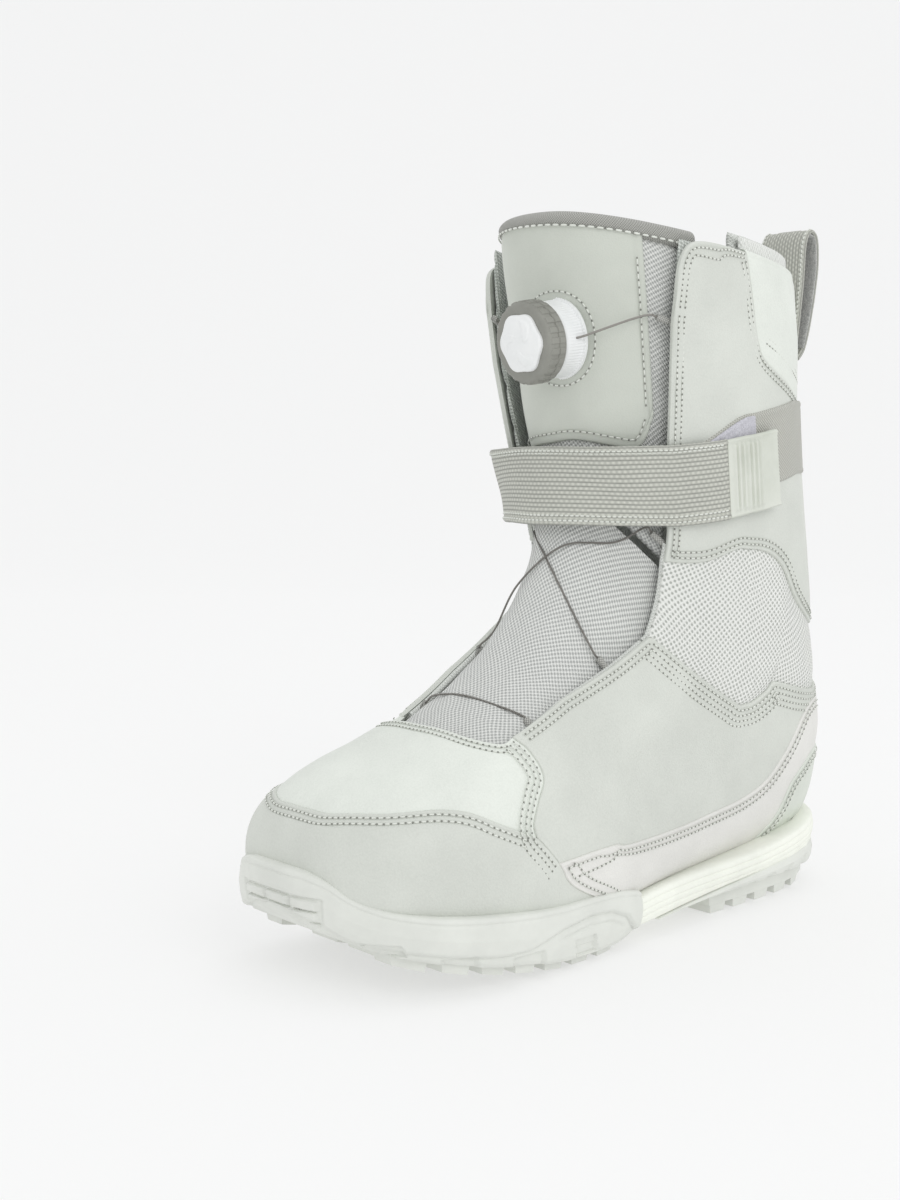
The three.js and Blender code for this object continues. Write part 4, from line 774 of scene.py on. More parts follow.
def make_side(side):
    """Quarter, foxing, ankle mesh and cuff flap of one side."""
    mirror = (lambda line: line) if side > 0 else mirrored
    name = side_name(side)
    throat_edge = edge_line(side, THROAT[0], FLEX_LOW)
    low, high = from_edge(side, MESH_LOW), from_edge(side, MESH_HIGH)
    flap_edge = edge_line(side, FLEX_HIGH, 15.9)
    front_u = float(edge_u(side, 15.9))
    corner = spline([(15.9, front_u), (16.5, front_u + 3.2), (16.86, 74), (16.98, 83), (17.0, 95)])
    front = chain(QUARTER, BAND)
    grid = one_side(side, FOXING_TOP, chain(throat_edge, low), front[::-1], straight((12.65, 180), (13, 180)))
    panel(f"quarter_leather_{name}", grid, M["upper"], "foot", [f"quarter_{name}"], lift=0.8,
          raised=swap("lt", side), tuck="b", crown=0.5, wrinkle=0.35,
          rows=swap_rows([("l", 2.2), ("l", 4.6), ("l", 7.4), ("t", 2.4), ("t", 5.0)], side))
    grid = one_side(side, chain(HEEL_FEATHER, COUNTER), FOXING_TOP, SHANK[::-1], straight((12.15, 180), (12.65, 180)))
    panel(f"foxing_leather_{name}", grid, M["foxing"], "foot", [f"foxing_{name}"], lift=1.5,
          raised=swap("tl", side), crown=0.6, wrinkle=0.25,
          rows=swap_rows([("t", 2.3), ("t", 5.0), ("l", 2.3), ("l", 5.0)], side))
    grid = one_side(side, low, high, edge_line(side, FLEX_LOW, FLEX_HIGH), straight((13.0, 180), (13.5, 180)))
    panel(f"ankle_mesh_weave_{name}", grid, M["ankle_mesh"], FLEX, [f"ankle_mesh_{name}"], lift=-0.3,
          tuck="bt", crown=1.6, wrinkle=0.5)
    grid = one_side(side, high, chain(corner, REAR), flap_edge, straight((13.5, 180), (15.55, 180)))
    panel(f"cuff_leather_{name}", grid, M["upper"], "cuff", [f"cuff_{name}"], lift=0.8,
          raised=swap("lbt", side), crown=0.7, wrinkle=0.3,
          rows=swap_rows([("b", 2.3), ("b", 4.8), ("l", 2.6), ("l", 5.2), ("t", 2.4), ("t", 4.9)], side))
    for mm in (2.2, 4.6, 7.4):
        sew("foot", mirror(front), mm, 1.25, side=-side, trim=(2, 1))
    for mm in (2.3, 5.0):
        sew("foot", mirror(FOXING_TOP), mm, 2.0, side=-side, trim=(1.9 * mm, 0.5))
        sew("foot", mirror(SHANK), mm, 2.0, side=side, trim=(1.9 * mm, 6))
    for body, line, rows, lift, turn, trim, pitch in (
            ("foot", low, (2.4, 5.0, 7.6, 10.2), 1.28, -1, (3, 0.5), None),
            ("foot", throat_edge, (2.4, 5.0), 1.28, -1, (5, 3), 2.4),
            ("cuff", high, (2.3, 4.8), 1.35, 1, (4, 0.5), None),
            ("cuff", flap_edge, (2.6, 5.2), 1.35, -1, (3, 3), 2.4)):
        for mm in rows:
            sew(body, mirror(line), mm, lift, side=turn * side, trim=trim, pitch=pitch)
    for mm in (2.4, 4.9):
        sew("cuff", mirror(corner), mm, 1.35, side=-side, trim=(1, 2), pitch=2.4)
        sew("cuff", mirror(REAR), mm, 1.35, side=-side, trim=(4, 0.5))
    slant = spline([(16.0, 103), (15.96, 112), (15.9, 124), (15.85, 140)])
    for mm in (0.0, 2.6):
        sew("cuff", mirror(slant), mm, 1.0, side=1, trim=(1, 1))


FLEX = ("foot", "cuff", (0, 35.4, 128.3), (0, 40.4, 146.6))


def both_ends(line):
    """A seam from the lateral side carried round the heel to the medial one, u from 0 to 360."""
    back = np.array(line)[::-1]
    back[:, 1] = 360 - back[:, 1]
    return chain(line, back)


def heel_skin(s, u, d):
    """The shell with u counted on past 180 to the medial side."""
    u = np.asarray(u, float)
    return shell(s, np.where(u > 180, u - 360, u), d)


def make_heel():
    """Heel counter and the ribbed white collar at the back."""
    bottom, top = both_ends(BACK_FEATHER), both_ends(COUNTER)
    a = spread(length_along(heel_skin(top[:, 0], top[:, 1], 0 * top[:, 0]))[-1], 2.4)
    low, high = at_shares(bottom, a, heel_skin), at_shares(top, a, heel_skin)
    b = spread(40.0, 2.6)[:, None]
    grid = low[None] * (1 - b[..., None]) + high[None] * b[..., None]
    panel("heel_counter_leather", (grid[..., 0], grid[..., 1]), M["counter"], "foot",
          ["heel_counter"], lift=2.1, raised="t", rows=[("t", 2.3), ("t", 5.0)], crown=0.5, skin=heel_skin)
    for mm in (2.3, 5.0):
        sew("foot", top, mm, 2.6, side=-1, trim=(5, 5), skin=heel_skin)
    back = both_ends(REAR)
    a = spread(length_along(heel_skin(back[:, 0], back[:, 1], 0 * back[:, 0]))[-1], 2.4)
    low = at_shares(back, a, heel_skin)
    high = at_shares(straight((17.03, 94), (17.03, 266), 120), a, heel_skin)
    b = spread(32.0, 2.4)[:, None, None]
    grid = low[None] * (1 - b) + high[None] * b
    panel("cuff_rear_leather", (grid[..., 0], grid[..., 1]), M["vamp"], "cuff", ["cuff_rear"],
          lift=0.2, raised="t", tuck="b", rows=[("t", 3.0)], crown=1.6, skin=heel_skin, wrinkle=0.4)
    s, u = sheet_grid(16.2, 17.2, lambda s: 95 + 0 * s, lambda s: 265 + 0 * s, 1.2)
    pad("rear_collar_ribbed", s, u, -2.3, -5.3, M["collar"], "cuff", [], skin=heel_skin,
        roll="tlr", radius=1.8, soft=0.1,
        channels=lambda p, away: 0.35 * (0.5 + 0.5 * np.cos(2 * np.pi * away["l"] / 2.6)))


# ---- linings, liner and tongue -------------------------------------------------------------------

def sheet_grid(s0, s1, u0, u1, pitch=2.4):
    """A grid between two stations, with u ends given as functions of s."""
    rows = spread(abs(s1 - s0) * 22, pitch)
    s = s0 + (s1 - s0) * rows[:, None]
    lo, hi = u0(s), u1(s)
    columns = spread(float(np.mean(np.abs(hi - lo))) * 0.95 + 6, pitch)[None]
    return np.broadcast_to(s, (len(rows), columns.shape[1])).copy(), lo + (hi - lo) * columns


def on_side(s, u, side):
    """A lateral grid as it is, or turned over for the medial side."""
    return (s, u) if side > 0 else turned_over((s, u))


def dimples(pitch, depth):
    """Sewn channels a pitch apart up the piece."""
    return lambda p, away: depth * np.exp(-((np.mod(away["b"], pitch) - pitch / 2) / 1.1) ** 2)


def make_linings():
    """Padded mesh inside the flaps, the liner's ankle and cuff and the mesh gussets."""
    for side in (1, -1):
        name = side_name(side)
        start, end = (lambda s, side=side: edge_u(side, s) + 1.2), (lambda s: 92 + 0 * s)
        s, u = sheet_grid(12.0, 16.9, start, end)
        s, u = on_side(s, u, side)
        pad(f"lining_mesh_{name}", s, u, -2.2, -4.9, M["lining"], "cuff", [f"lining_{name}"],
            skin=shell, roll="lrt", radius=2.6, soft=0.25, channels=dimples(19.0, 0.9))
        s, u = sheet_grid(12.4, 16.75, lambda s: 50 + 0 * s, lambda s: 86 + 0 * s)
        s, u = on_side(s, u, side)
        pad(f"gusset_mesh_{name}", s, u, -5.2, -6.6, M["tongue_mesh"], ("cuff", "tongue", *GUSSET[side]),
            [f"gusset_{name}"], roll="lrt", radius=1.2, soft=0.35)
        for part, s0, s1, body in (("throat", 6.35, 9.9, "foot"), ("ankle", 9.95, 11.95, FLEX)):
            s, u = sheet_grid(s0, s1, lambda s, side=side: edge_u(side, s) - 0.6,
                              lambda s, side=side: edge_u(side, s) + 13, 1.8)
            s, u = on_side(s, u, side)
            pad(f"{part}_edge_lining_{name}", s, u, -1.5, -4.2, M["liner"], body, [], skin=shell,
                roll="lr", radius=1.6, soft=0.15)
    s, u = sheet_grid(13.2, 17.25, lambda s: 94 + 0 * s, lambda s: 266 + 0 * s)
    pad("liner_cuff_padded", s, u, -5.3, -11.0, M["liner"], "cuff", ["liner_cuff"], skin=wide_inner,
        roll="lrt", radius=4.2, soft=0.4, channels=dimples(26.0, 1.2))
    s, u = sheet_grid(9.8, 13.5, lambda s: 78 + 0 * s, lambda s: 282 + 0 * s)
    pad("liner_ankle_padded", s, u, -3.4, -9.6, M["liner"], FLEX, ["liner_ankle"], skin=wide_inner,
        roll="lr", radius=3.0, soft=0.3)


def wide_inner(s, u, d):
    u = np.asarray(u, float)
    return inner(s, np.where(u > 180, u - 360, u), d)


# two points for each gusset, between the cuff and the tongue; they ride in its body tuple, and the gusset is baked in
# place
GUSSET = {1: ((48, 0, 0), (36, -12, 0)), -1: ((-48, 0, 0), (-36, -12, 0))}
# the shield's lower edge, from its medial to its lateral side
SHIELD_LOW = spline([(13.75, -57), (13.2, -52), (12.85, -36), (12.6, -16), (12.55, 0), (12.75, 16),
                     (13.05, 36), (13.4, 50), (14.1, 57)])


def make_tongue():
    """Padded tongue with its smooth shield and binding, and the woven lower tongue."""
    s, u = sheet_grid(5.1, 11.5, lambda s: -(edge_u(-1, s) + 8), lambda s: edge_u(1, s) + 8, 2.0)
    pad("tongue_lower_weave", s, u, -4.6, -8.9, M["tongue_mesh"], FLEX, ["tongue_lower"], roll="lrb",
        radius=2.5, soft=0.45)
    s, u = sheet_grid(11.7, 16.85, lambda s: -58 + 0 * s, lambda s: 60 + 20 * smooth(s, 13.5, 16))
    pad("tongue_padding", s, u, -5.4, -13.4, M["tongue_mesh"], "tongue", ["tongue_pad"], roll="lrbt",
        radius=4.0, soft=0.5, channels=dimples(24.0, 0.8))
    a = spread(95.0, 2.2)
    low = at_shares(SHIELD_LOW, a, inner)
    high = at_shares(straight((16.86, -57), (16.86, 57)), a, inner)
    b = spread(88.0, 2.2)[:, None, None]
    grid = low[None] * (1 - b) + high[None] * b
    panel("tongue_shield_face", (grid[..., 0], grid[..., 1]), M["shield"], "tongue", ["tongue_shield"],
          lift=-3.9, raised="lrb", rows=[("l", 4.0), ("r", 4.0), ("b", 4.0)], crown=1.2, skin=inner, thick=1.8,
          sink=0.4, wrinkle=0.15)
    for line, turn in ((SHIELD_LOW, 1), (straight((14.1, 57), (16.6, 57)), 1),
                       (straight((13.75, -57), (16.6, -57)), -1)):
        sew("tongue", line, 4.0, -2.75, side=turn, trim=(5, 3), skin=inner, pitch=3.2)
    s, u = sheet_grid(16.76, 17.12, lambda s: -60 + 0 * s, lambda s: 80 + 0 * s, 1.6)
    pad("tongue_binding_tape", s, u, -2.9, -14.2, M["binding"], "tongue", ["tongue_binding"], roll="tlrb",
        radius=3.4, soft=0.12)
    sew("tongue", straight((16.84, -57), (16.84, 76)), 0.0, -2.6, side=1, skin=inner, pitch=4.2, width=0.5)


# ---- strap, ring, anchor, loops -------------------------------------------------------------------

# degrees from the ridge, with the height of the strap's middle and how far it stands off the upper
STRAP_LEVEL = np.array([[-91, 192], [0, 191.5], [60, 192.5], [79, 194.5], [101, 199.5]])
STRAP_STAND = np.array([[-91, 8], [-84, 7.6], [-68, 3.8], [-56, 2.4], [-30, 3.3], [0, 4], [30, 3.4], [56, 2.8],
                        [66, 4.2], [72, 5.3], [81, 5.4], [101, 5.4]])
ANCHOR_LEVEL = np.array([[74, 194], [91, 206], [124, 213], [190, 213], [215, 208], [235, 200], [250, 193],
                         [271, 192]])
RING = {"middle": np.array([-53.982, 72.321, 191.675]) - SHIFT * 1000,
        "out": np.array([-.99836, .03113, -.04804]), "up": np.array([-.05185, -.13634, .98930]),
        "ahead": np.array([-.02425, -.99017, -.13773])}


def round_the_boot(u, z, d, half, n=27):
    """Rows of points across a strap: at angle u and heights z - half to z + half."""
    v = strap_across(half, n)[None]
    u = np.asarray(u, float)[:, None] + 0 * v
    u = np.where(u > 180, u - 360, u)
    s = station_at(np.asarray(z, float)[:, None] + v, u)
    return shell(s, u, np.asarray(d, float)[:, None] + 0 * v)


def strap_across(half, n=27):
    """Places across a strap, closer together at its two edges."""
    t = np.linspace(-1, 1, n)
    return half * (0.35 * np.sin(t * math.pi / 2) + 0.65 * t)


def on_ring(a, b, half, n=27):
    v = strap_across(half, n)
    return (RING["middle"] + RING["ahead"] * a + RING["out"] * b)[None] + RING["up"][None] * v[:, None]


def wrapped(bar, thick, half, steps=8):
    reach = 2.146 + thick / 2
    angle = math.pi * np.arange(steps + 1) / steps
    return np.stack([on_ring(bar * (6.2 - reach * math.sin(a)), reach * math.cos(a), half) for a in angle])


def strip(name, rows, thick, material, body, nodes, rib=None, step=1.5, cord=0.0, stitch=()):
    """A woven strip through rows of points: a closed band with rounded edges, thicker by cord
    along them, its face raised or lowered by rib(distance along, share across)."""
    n = rows.shape[1]
    knots = length_along(rows[:, n // 2])
    count = max(8, int(knots[-1] / step))
    smooth_rows = np.stack([spline(rows[:, k], 12) for k in range(n)], 1)
    run = length_along(smooth_rows[:, n // 2])
    at = np.linspace(0, run[-1], count)
    flat = smooth_rows.reshape(len(run), -1)
    centre = np.stack([np.interp(at, run, flat[:, k]) for k in range(flat.shape[1])], -1).reshape(count, n, 3)
    along, across = np.gradient(centre, axis=0), np.gradient(centre, axis=1)
    out = unit(np.cross(along, across))
    width = length_along(centre[count // 2])
    edge = np.minimum(width, width[-1] - width)
    half = thick / 2 * np.sqrt(1 - (1 - np.clip(edge / 0.8, 0, 1)) ** 2 * 0.85)
    swell = cord * np.exp(-(((edge - 1.5) / 0.9) ** 2)) - cord * 0.6 * np.exp(-(((edge - 3.1) / 0.5) ** 2))
    face = (half + swell)[None] + np.zeros((count, 1))
    if rib is not None:
        face = face + rib(at[:, None], (width / width[-1])[None])
    outside, inside = centre + out * face[..., None], centre - out * half[None, :, None]
    points, faces = closed_grids(outside, inside)
    for mm in stitch:
        for k in (int(np.argmin(np.abs(width - mm))), int(np.argmin(np.abs(width - width[-1] + mm)))):
            line, up = outside[:, k], out[:, k]
            run = length_along(line)
            place = np.arange(2.0, run[-1] - 2.0, 2.3)
            spot = np.stack([np.interp(place, run, line[:, j]) for j in range(3)], -1)
            up = unit(np.stack([np.interp(place, run, up[:, j]) for j in range(3)], -1))
            SEWN.setdefault((body, "thread", "strap"), []).append(
                (spot, unit(np.gradient(spot, axis=0)), up, (0.85, 0.42, 0.34)))
    uv = np.stack(np.broadcast_arrays(at[:, None], width[None]), -1)
    faces = faces[:, ::-1]
    obj = mesh_piece(name, points, faces, material, body, np.tile(uv.reshape(-1, 2), (2, 1)), sharp=60)
    if nodes:
        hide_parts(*nodes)
    return obj


def make_strap():
    """Webbing from the ring over the instep to the lateral side, with its moulded tab."""
    u = np.linspace(-84, 81.2, 60)
    rows = np.concatenate([
        round_the_boot([-88], [192], [2.4], 17.5), wrapped(1, 1.6, 17.5)[::-1],
        round_the_boot(u, np.interp(u, *STRAP_LEVEL.T), np.interp(u, *STRAP_STAND.T)
                       + 3.6 * smooth(u, -80, -52) * (1 - smooth(u, -48, 5)), 17.5)])
    strip("strap_webbing_woven", rows, 1.6, M["webbing"], "strap", ["strap_webbing"], cord=0.5,
          stitch=(1.6, 3.4))
    u = np.linspace(81, 102, 12)
    rows = round_the_boot(u, np.interp(u, *STRAP_LEVEL.T), np.interp(u, *STRAP_STAND.T) + 0.2, 17.2)
    def ribs(along, share):
        """Seven rounded ribs across the tab, fading at its edges."""
        band = smooth(np.cos(2 * np.pi * (along - 3.4) / 2.9), -0.45, 0.1) * (along > 2.0) * (along < 22.3)
        frame_edge = 0.5 * smooth(np.abs(share - 0.5), 0.44, 0.46)
        return 0.95 * band * (np.abs(share - 0.5) < 0.43) + frame_edge - 0.2
    strip("strap_tab_moulded", rows, 2.3, M["tab"], "strap_end", ["strap_tab"], rib=ribs, step=0.5)
    u = np.linspace(74, 246, 70)
    rows = np.concatenate([round_the_boot(u, np.interp(u, *ANCHOR_LEVEL.T), 1.5 + 0 * u, 17.0),
                           wrapped(-1, 1.4, 17.0)[::-1], on_ring(-13.2, 2.846, 17.0)[None]])
    strip("strap_anchor_band", rows, 1.4, M["anchor"], "cuff", ["strap_anchor"], cord=0.2)
    u = np.linspace(74.5, 94, 14)
    rows = round_the_boot(u, np.interp(u, *ANCHOR_LEVEL.T), 2.9 + 0 * u, 16.0)
    strip("loop_patch_pile", rows, 1.0, M["loop_pile"], "cuff", ["loop_patch"],
          rib=lambda along, share: 0.12 * np.sin(share * 60) + 0.05 * np.sin(along * 3.0), step=0.8)


def make_ring():
    """Rounded rectangular ring: a round bar swept round a rectangle with soft corners."""
    w, h, r, bar = 6.2, (46.2 - 2.6) / 2, 3.2, 1.3
    corner = np.radians(np.linspace(0, 90, 9))
    outline = []
    for sx, sy, turn in ((1, 1, 0), (-1, 1, 90), (-1, -1, 180), (1, -1, 270)):
        a = corner + math.radians(turn)
        outline.append(np.stack([sx * (w - r) + r * np.cos(a), sy * (h - r) + r * np.sin(a)], -1))
    outline = np.concatenate(outline)
    centre = RING["middle"] + outline[:, :1] * RING["ahead"] + outline[:, 1:] * RING["up"]
    t = unit(np.roll(centre, -1, 0) - np.roll(centre, 1, 0))
    side = unit(np.cross(t, RING["out"]))
    angle = np.arange(16) * 2 * math.pi / 16
    ring = centre[:, None] + bar * (np.cos(angle)[None, :, None] * side[:, None]
                                    + np.sin(angle)[None, :, None] * RING["out"][None, None])
    rows, sides = ring.shape[:2]
    i = np.arange(rows * sides).reshape(rows, sides)
    i = np.concatenate([np.concatenate([i, i[:1]]), np.concatenate([i, i[:1]])[:, :1]], 1)
    faces = np.stack([i[:-1, :-1], i[:-1, 1:], i[1:, 1:], i[1:, :-1]], -1).reshape(-1, 4)
    obj = mesh_piece("strap_ring_rounded", ring, faces, M["black"], "cuff")
    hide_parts("strap_ring")


def make_pull_loop():
    """Folded webbing loop behind the cuff, pinched and bar-tacked, with a felt lining inside."""
    shape = np.array([[0, .02], [5, .12], [10.5, .4], [14.5, .72], [14, .94], [9.5, .985], [5.5, .88], [3.5, .6],
                      [.5, .3], [-1.8, .1]])
    y, z = 131.89 + 0.8863 + shape[:, 0] + 2.6, 250 + 65 * shape[:, 1]
    v = strap_across(14.5)
    rows = np.stack([np.stack([v + 5.0, np.full_like(v, a), np.full_like(v, b)], -1) for a, b in zip(y, z)])
    bands = lambda along, share: 0.3 * (np.abs(share - 0.5) < 0.24) + 0.05 * np.sin(along * 4.5)
    strip("pull_loop_webbing", rows, 1.8, M["webbing"], "pull_loop", ["pull_loop_ribbon"], rib=bands,
          cord=0.3, stitch=(2.0,))
    inside = rows[1:6] * [1, 1, 1] - [0, 1.5, 1.2]
    strip("pull_loop_lining_felt", inside, 1.0, M["felt"], "pull_loop", [], step=1.5)
    z = np.linspace(178, 252, 14)
    back = round_back(z, 15.0, 3.4)
    strip("pull_loop_base_webbing", back, 1.8, M["webbing"], "cuff", ["pull_loop_base"], rib=bands,
          cord=0.3, stitch=(2.0,))
    for step in (0.0, 2.2, 4.4):
        bar = back[-1] + unit(back[-2] - back[-1]) * step
        spot = np.stack([np.interp(np.arange(2, 28, 2.4), length_along(bar), bar[:, j]) for j in range(3)], -1)
        SEWN.setdefault(("cuff", "thread", "loop"), []).append(
            (spot + [0, 1.3, 0], unit(np.gradient(spot, axis=0)), np.tile([0.0, 1.0, 0.0], (len(spot), 1)),
             (0.95, 0.45, 0.4)))


def round_back(z, half, stand):
    """Rows across a ribbon down the back of the cuff, 5 mm to the lateral side of its middle."""
    v = strap_across(half)
    s = station_at(z, 180 + 0 * z)
    middle = shell(s, 180 + 0 * s, stand)
    return middle[:, None] + np.stack([v + 5.0, -0.004 * (v + 5.0) ** 2 - 0.04 * (v + 5.0), 0 * v], -1)[None]


# ---- dial ------------------------------------------------------------------------------------------

TILT = math.radians(8)
DIAL = {"foot": np.array([11.739, -15.063, 255.611]) - SHIFT * 1000,
        "w": np.array([0, -math.cos(TILT), -math.sin(TILT)]), "x": np.array([1.0, 0, 0]),
        "y": np.array([0, -math.sin(TILT), math.cos(TILT)])}


def turned(name, profile, material, body, slot, nodes, around=180, vary=None):
    """A profile of (r, w) turned about the dial's axis; vary(angle, r, w) gives what to add to both."""
    profile = np.asarray(profile, float)
    angle = np.linspace(0, 2 * math.pi, around, endpoint=False)
    r = profile[:, 0][:, None] + np.zeros((1, around))
    w = profile[:, 1][:, None] + np.zeros((1, around))
    if vary is not None:
        dr, dw = vary(angle[None], r, w)
        r, w = r + dr, w + dw
    points = (DIAL["foot"] + w[..., None] * DIAL["w"] + (r * np.cos(angle))[..., None] * DIAL["x"]
              + (r * np.sin(angle))[..., None] * DIAL["y"])
    rows = len(profile)
    faces = quads(rows, around, wrap=True)[:, ::-1].tolist()
    faces += [list(range(around)), list(range(rows * around - 1, (rows - 1) * around - 1, -1))]
    obj = mesh_piece(name, points, faces, material, body, sharp=42)
    if nodes:
        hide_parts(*nodes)
    return obj


def rounded(points, r=0.7, steps=4):
    """A profile with each inner corner cut by a small quadratic curve."""
    p = np.asarray(points, float)
    out = [p[:1]]
    for a, b, c in zip(p[:-2], p[1:-1], p[2:]):
        da, dc = a - b, c - b
        la, lc = np.linalg.norm(da), np.linalg.norm(dc)
        k = min(r, la * 0.45, lc * 0.45)
        a2, c2 = b + da / la * k, b + dc / lc * k
        t = np.linspace(0, 1, steps)[:, None]
        out.append((1 - t) ** 2 * a2 + 2 * t * (1 - t) * b + t * t * c2)
    return np.concatenate(out + [p[-1:]])


def make_dial():
    """Ribbed housing, notched grip ring and lobed cap with three raised swirls."""
    ribs = lambda a, r, w: (0.42 * np.abs(np.sin(38 * a)) * ((r > 15.9) & (w > 1.2) & (w < 9.6)), 0 * r)
    housing = [(12.9, 0.4), (17.6, -0.4), (17.6, 1.6), (16.5, 1.9), (16.5, 10.2), (15.6, 11.5), (12.9, 11.5),
               (12.9, 3.2)]
    turned("reel_housing_ribbed", rounded(housing, 0.6), M["white_plastic"], "tongue", "white_plastic",
           ["reel_housing"], around=456, vary=ribs)
    notch = lambda a, r, w: (0.5 * (np.cos(24 * a) > -0.25) * ((r > 17.0) & (w > 13.2) & (w < 20.6)), 0 * r)
    grip = [(13.0, 12.1), (17.4, 12.1), (17.9, 13.0), (17.6, 13.3), (17.6, 15.9), (17.1, 16.1), (17.1, 16.7),
            (17.6, 16.9), (17.5, 20.4), (16.9, 21.4), (15.8, 21.9), (13.0, 21.6)]
    turned("knob_grip_rubber", rounded(grip, 0.35), M["grip"], "knob", "grip_rubber", ["knob_grip"], around=384,
           vary=notch)

    def lobes(a, r, w):
        """Six lobes round the rim and three swirls on the face."""
        rim = 0.55 * np.cos(6 * a) * smooth(r, 9, 12.5)
        swirl = smooth(np.cos(3 * (a - r * 0.11)), 0.35, 0.7) * smooth(r, 3.0, 4.5) * (1 - smooth(r, 9.6, 10.8))
        return rim, np.where(w > 22, 0.55 * swirl, 0)
    flat = [(r, 23.2 + 0.9 * (1 - (r / 12.6) ** 2)) for r in np.linspace(11.6, 0.2, 26)]
    turned("knob_cap_lobed", [(12.4, 13.0), (12.6, 21.2), (12.6, 22.6), (12.3, 23.1)] + flat,
           M["white_plastic"], "knob", "white_plastic", ["knob_cap"], around=240, vary=lobes)
    ring = np.linspace(0, 2 * math.pi, 160)
    reach = np.stack([20.6 * np.cos(ring), 20.6 * np.sin(ring)], -1)
    at = DIAL["foot"] + reach[:, :1] * DIAL["x"] + reach[:, 1:] * DIAL["y"]
    s, u = project(at)
    sew("tongue", np.stack([s, u], -1), 0.0, -2.55, side=1, skin=inner, pitch=3.0, width=0.42)


def project(points):
    """Station and angle on the last nearest to these points near the front, by Newton steps."""
    s = np.full(len(points), 14.84)
    u = np.full(len(points), 11.0)
    for _ in range(12):
        p = inner(s, u, -3.0)
        ps, pu = (inner(s + 0.01, u, -3.0) - p) / 0.01, (inner(s, u + 0.3, -3.0) - p) / 0.3
        e = points - p
        a, b, c = (ps * ps).sum(1), (ps * pu).sum(1), (pu * pu).sum(1)
        f, g = (ps * e).sum(1), (pu * e).sum(1)
        det = a * c - b * b
        s, u = s + (c * f - b * g) / det, u + (a * g - b * f) / det
    return s, u


# ---- lace ---------------------------------------------------------------------------------------------

LACE_RADIUS = 0.46
GUIDES = {"toe": {1: 6.75, -1: 6.6}, "instep": {1: 8.9, -1: 8.2}, "ankle": {1: 11.95, -1: 11.95},
          "top": {1: 15.7, -1: 15.7}}


def lace_at(s, side, behind):
    u = side * (edge_u(side, s) + behind)
    return shell(np.array([s]), np.array([u]), -4.05)[0]


def through_guide(place, side):
    """The lace's way through a guide loop, from behind the flap to its front."""
    s = GUIDES[place][side]
    return [lace_at(s, side, 4.4 + (-8.8) * t) for t in (-0.3, 0.0, 1.0, 1.3)]


def on_tongue(rows):
    return [inner(np.array([s]), np.array([float(u)]), d)[0] for s, u, d in rows]


def make_lace():
    """Steel lace over the tongue and the fabric guide loops it runs through."""
    runs = (("lace_cross_lateral", FLEX, ("ankle", 1), ("instep", -1),
             [(11.2, 40, -3.5), (10.3, 16, -2.7), (9.3, -12, -2.7), (8.55, -28, -3.5)]),
            ("lace_cross_medial", FLEX, ("ankle", -1), ("instep", 1),
             [(11.3, -38, -3.3), (10.6, -18, -4.1), (9.8, 8, -4.1), (9.2, 32, -4.1)]),
            ("lace_toe", "foot", ("toe", -1), ("toe", 1), [(6.55, -18, -3.5), (6.55, 0, -4.1), (6.6, 20, -4.1)]))
    for node, body, start, end, over in runs:
        line = np.array(through_guide(*start) + on_tongue(over) + through_guide(*end)[::-1])
        tube(node + "_cable", line, LACE_RADIUS, M["lace"], body, [node])
    for place, rows in GUIDES.items():
        body = "foot" if place in ("toe", "instep") else "cuff"
        for side, s in rows.items():
            line = [lace_at(s, side, 6.0 - 10.6 * t) for t in (0, 0.35, 0.7, 1.0)]
            tube(f"guide_{place}_{side_name(side)}_loop", np.array(line), 1.45, M["guide"], body,
                 [f"guide_{place}_{side_name(side)}"], step=0.6, sides=14)


# ---- sole ------------------------------------------------------------------------------------------------

# y, lateral and medial edge, top and bottom of each wall
CUP = np.array([
    [-147, 3, -19, 46.5, 31], [-145.5, 12, -28, 46, 28], [-142, 22, -37, 43.5, 25], [-137, 31, -44.5, 38.5, 21.5],
    [-129, 42, -51, 34.5, 18], [-117, 52, -55.5, 32, 15], [-104, 58, -58, 30.5, 12.5],
    [-88, 60.5, -59.5, 29, 9.5], [-72, 60.5, -57.5, 27.5, 7], [-55, 59, -54, 26.5, 4.6],
    [-38, 57, -50.5, 26.5, 4], [-22, 54.5, -48, 25.5, 4], [-12, 52.5, -47, 24, 5.5], [-6, 51, -46.5, 22.5, 7.5]])
MIDSOLE = np.array([
    [-6, 50, -46, 18.5, 7.3], [8, 49, -45, 20.5, 8], [25, 47.5, -44, 22, 9], [45, 46, -43.5, 23, 10],
    [65, 45, -43, 24, 10.5], [85, 43.5, -42, 25.5, 11], [105, 41, -40, 28, 11], [120, 37, -36.5, 30.5, 11],
    [131, 30.5, -31, 32.5, 11], [139, 21, -22, 33.5, 11.2], [143.5, 10, -12, 34, 11.6]])
FOAM_LOW = [7.3, 8.4, 10.2, 12.2, 14.2, 16.2, 18.2, 20, 21.2, 22, 22.4]    # where foam meets rubber
# place round the wall, 0 to 358 along its length, and height of the groove over its rear lobe
GROOVE = np.array([
    [0, 6], [5.4, 9.5], [10.7, 15.1], [21.2, 19.1], [34.4, 20.2], [52.7, 18.1], [69.6, 13.9], [84.6, 14.1],
    [101.9, 16.5], [117.2, 18.7], [132.2, 20.5], [146.1, 23.3], [156, 27.9], [166.8, 30.2], [184.8, 30.8]])
WALL_TOP_IN, WALL_LOW_IN = 3.4, 7.0     # how far the wall's upper and lower edges turn in
# first and last place round the wall, bottom and top of each window
WINDOWS = ((122.8, 138.1, 18.0, 22.0), (93.6, 106.6, 11.5, 15.6), (59.7, 74.8, 5.6, 11.6), (29.2, 40.6, 5.0, 11.4))


def block(x, lo, hi, soft=0.7):
    """1 inside a range, falling to 0 over soft mm outside it."""
    return smooth(x, lo - soft, lo) * (1 - smooth(x, hi, hi + soft))


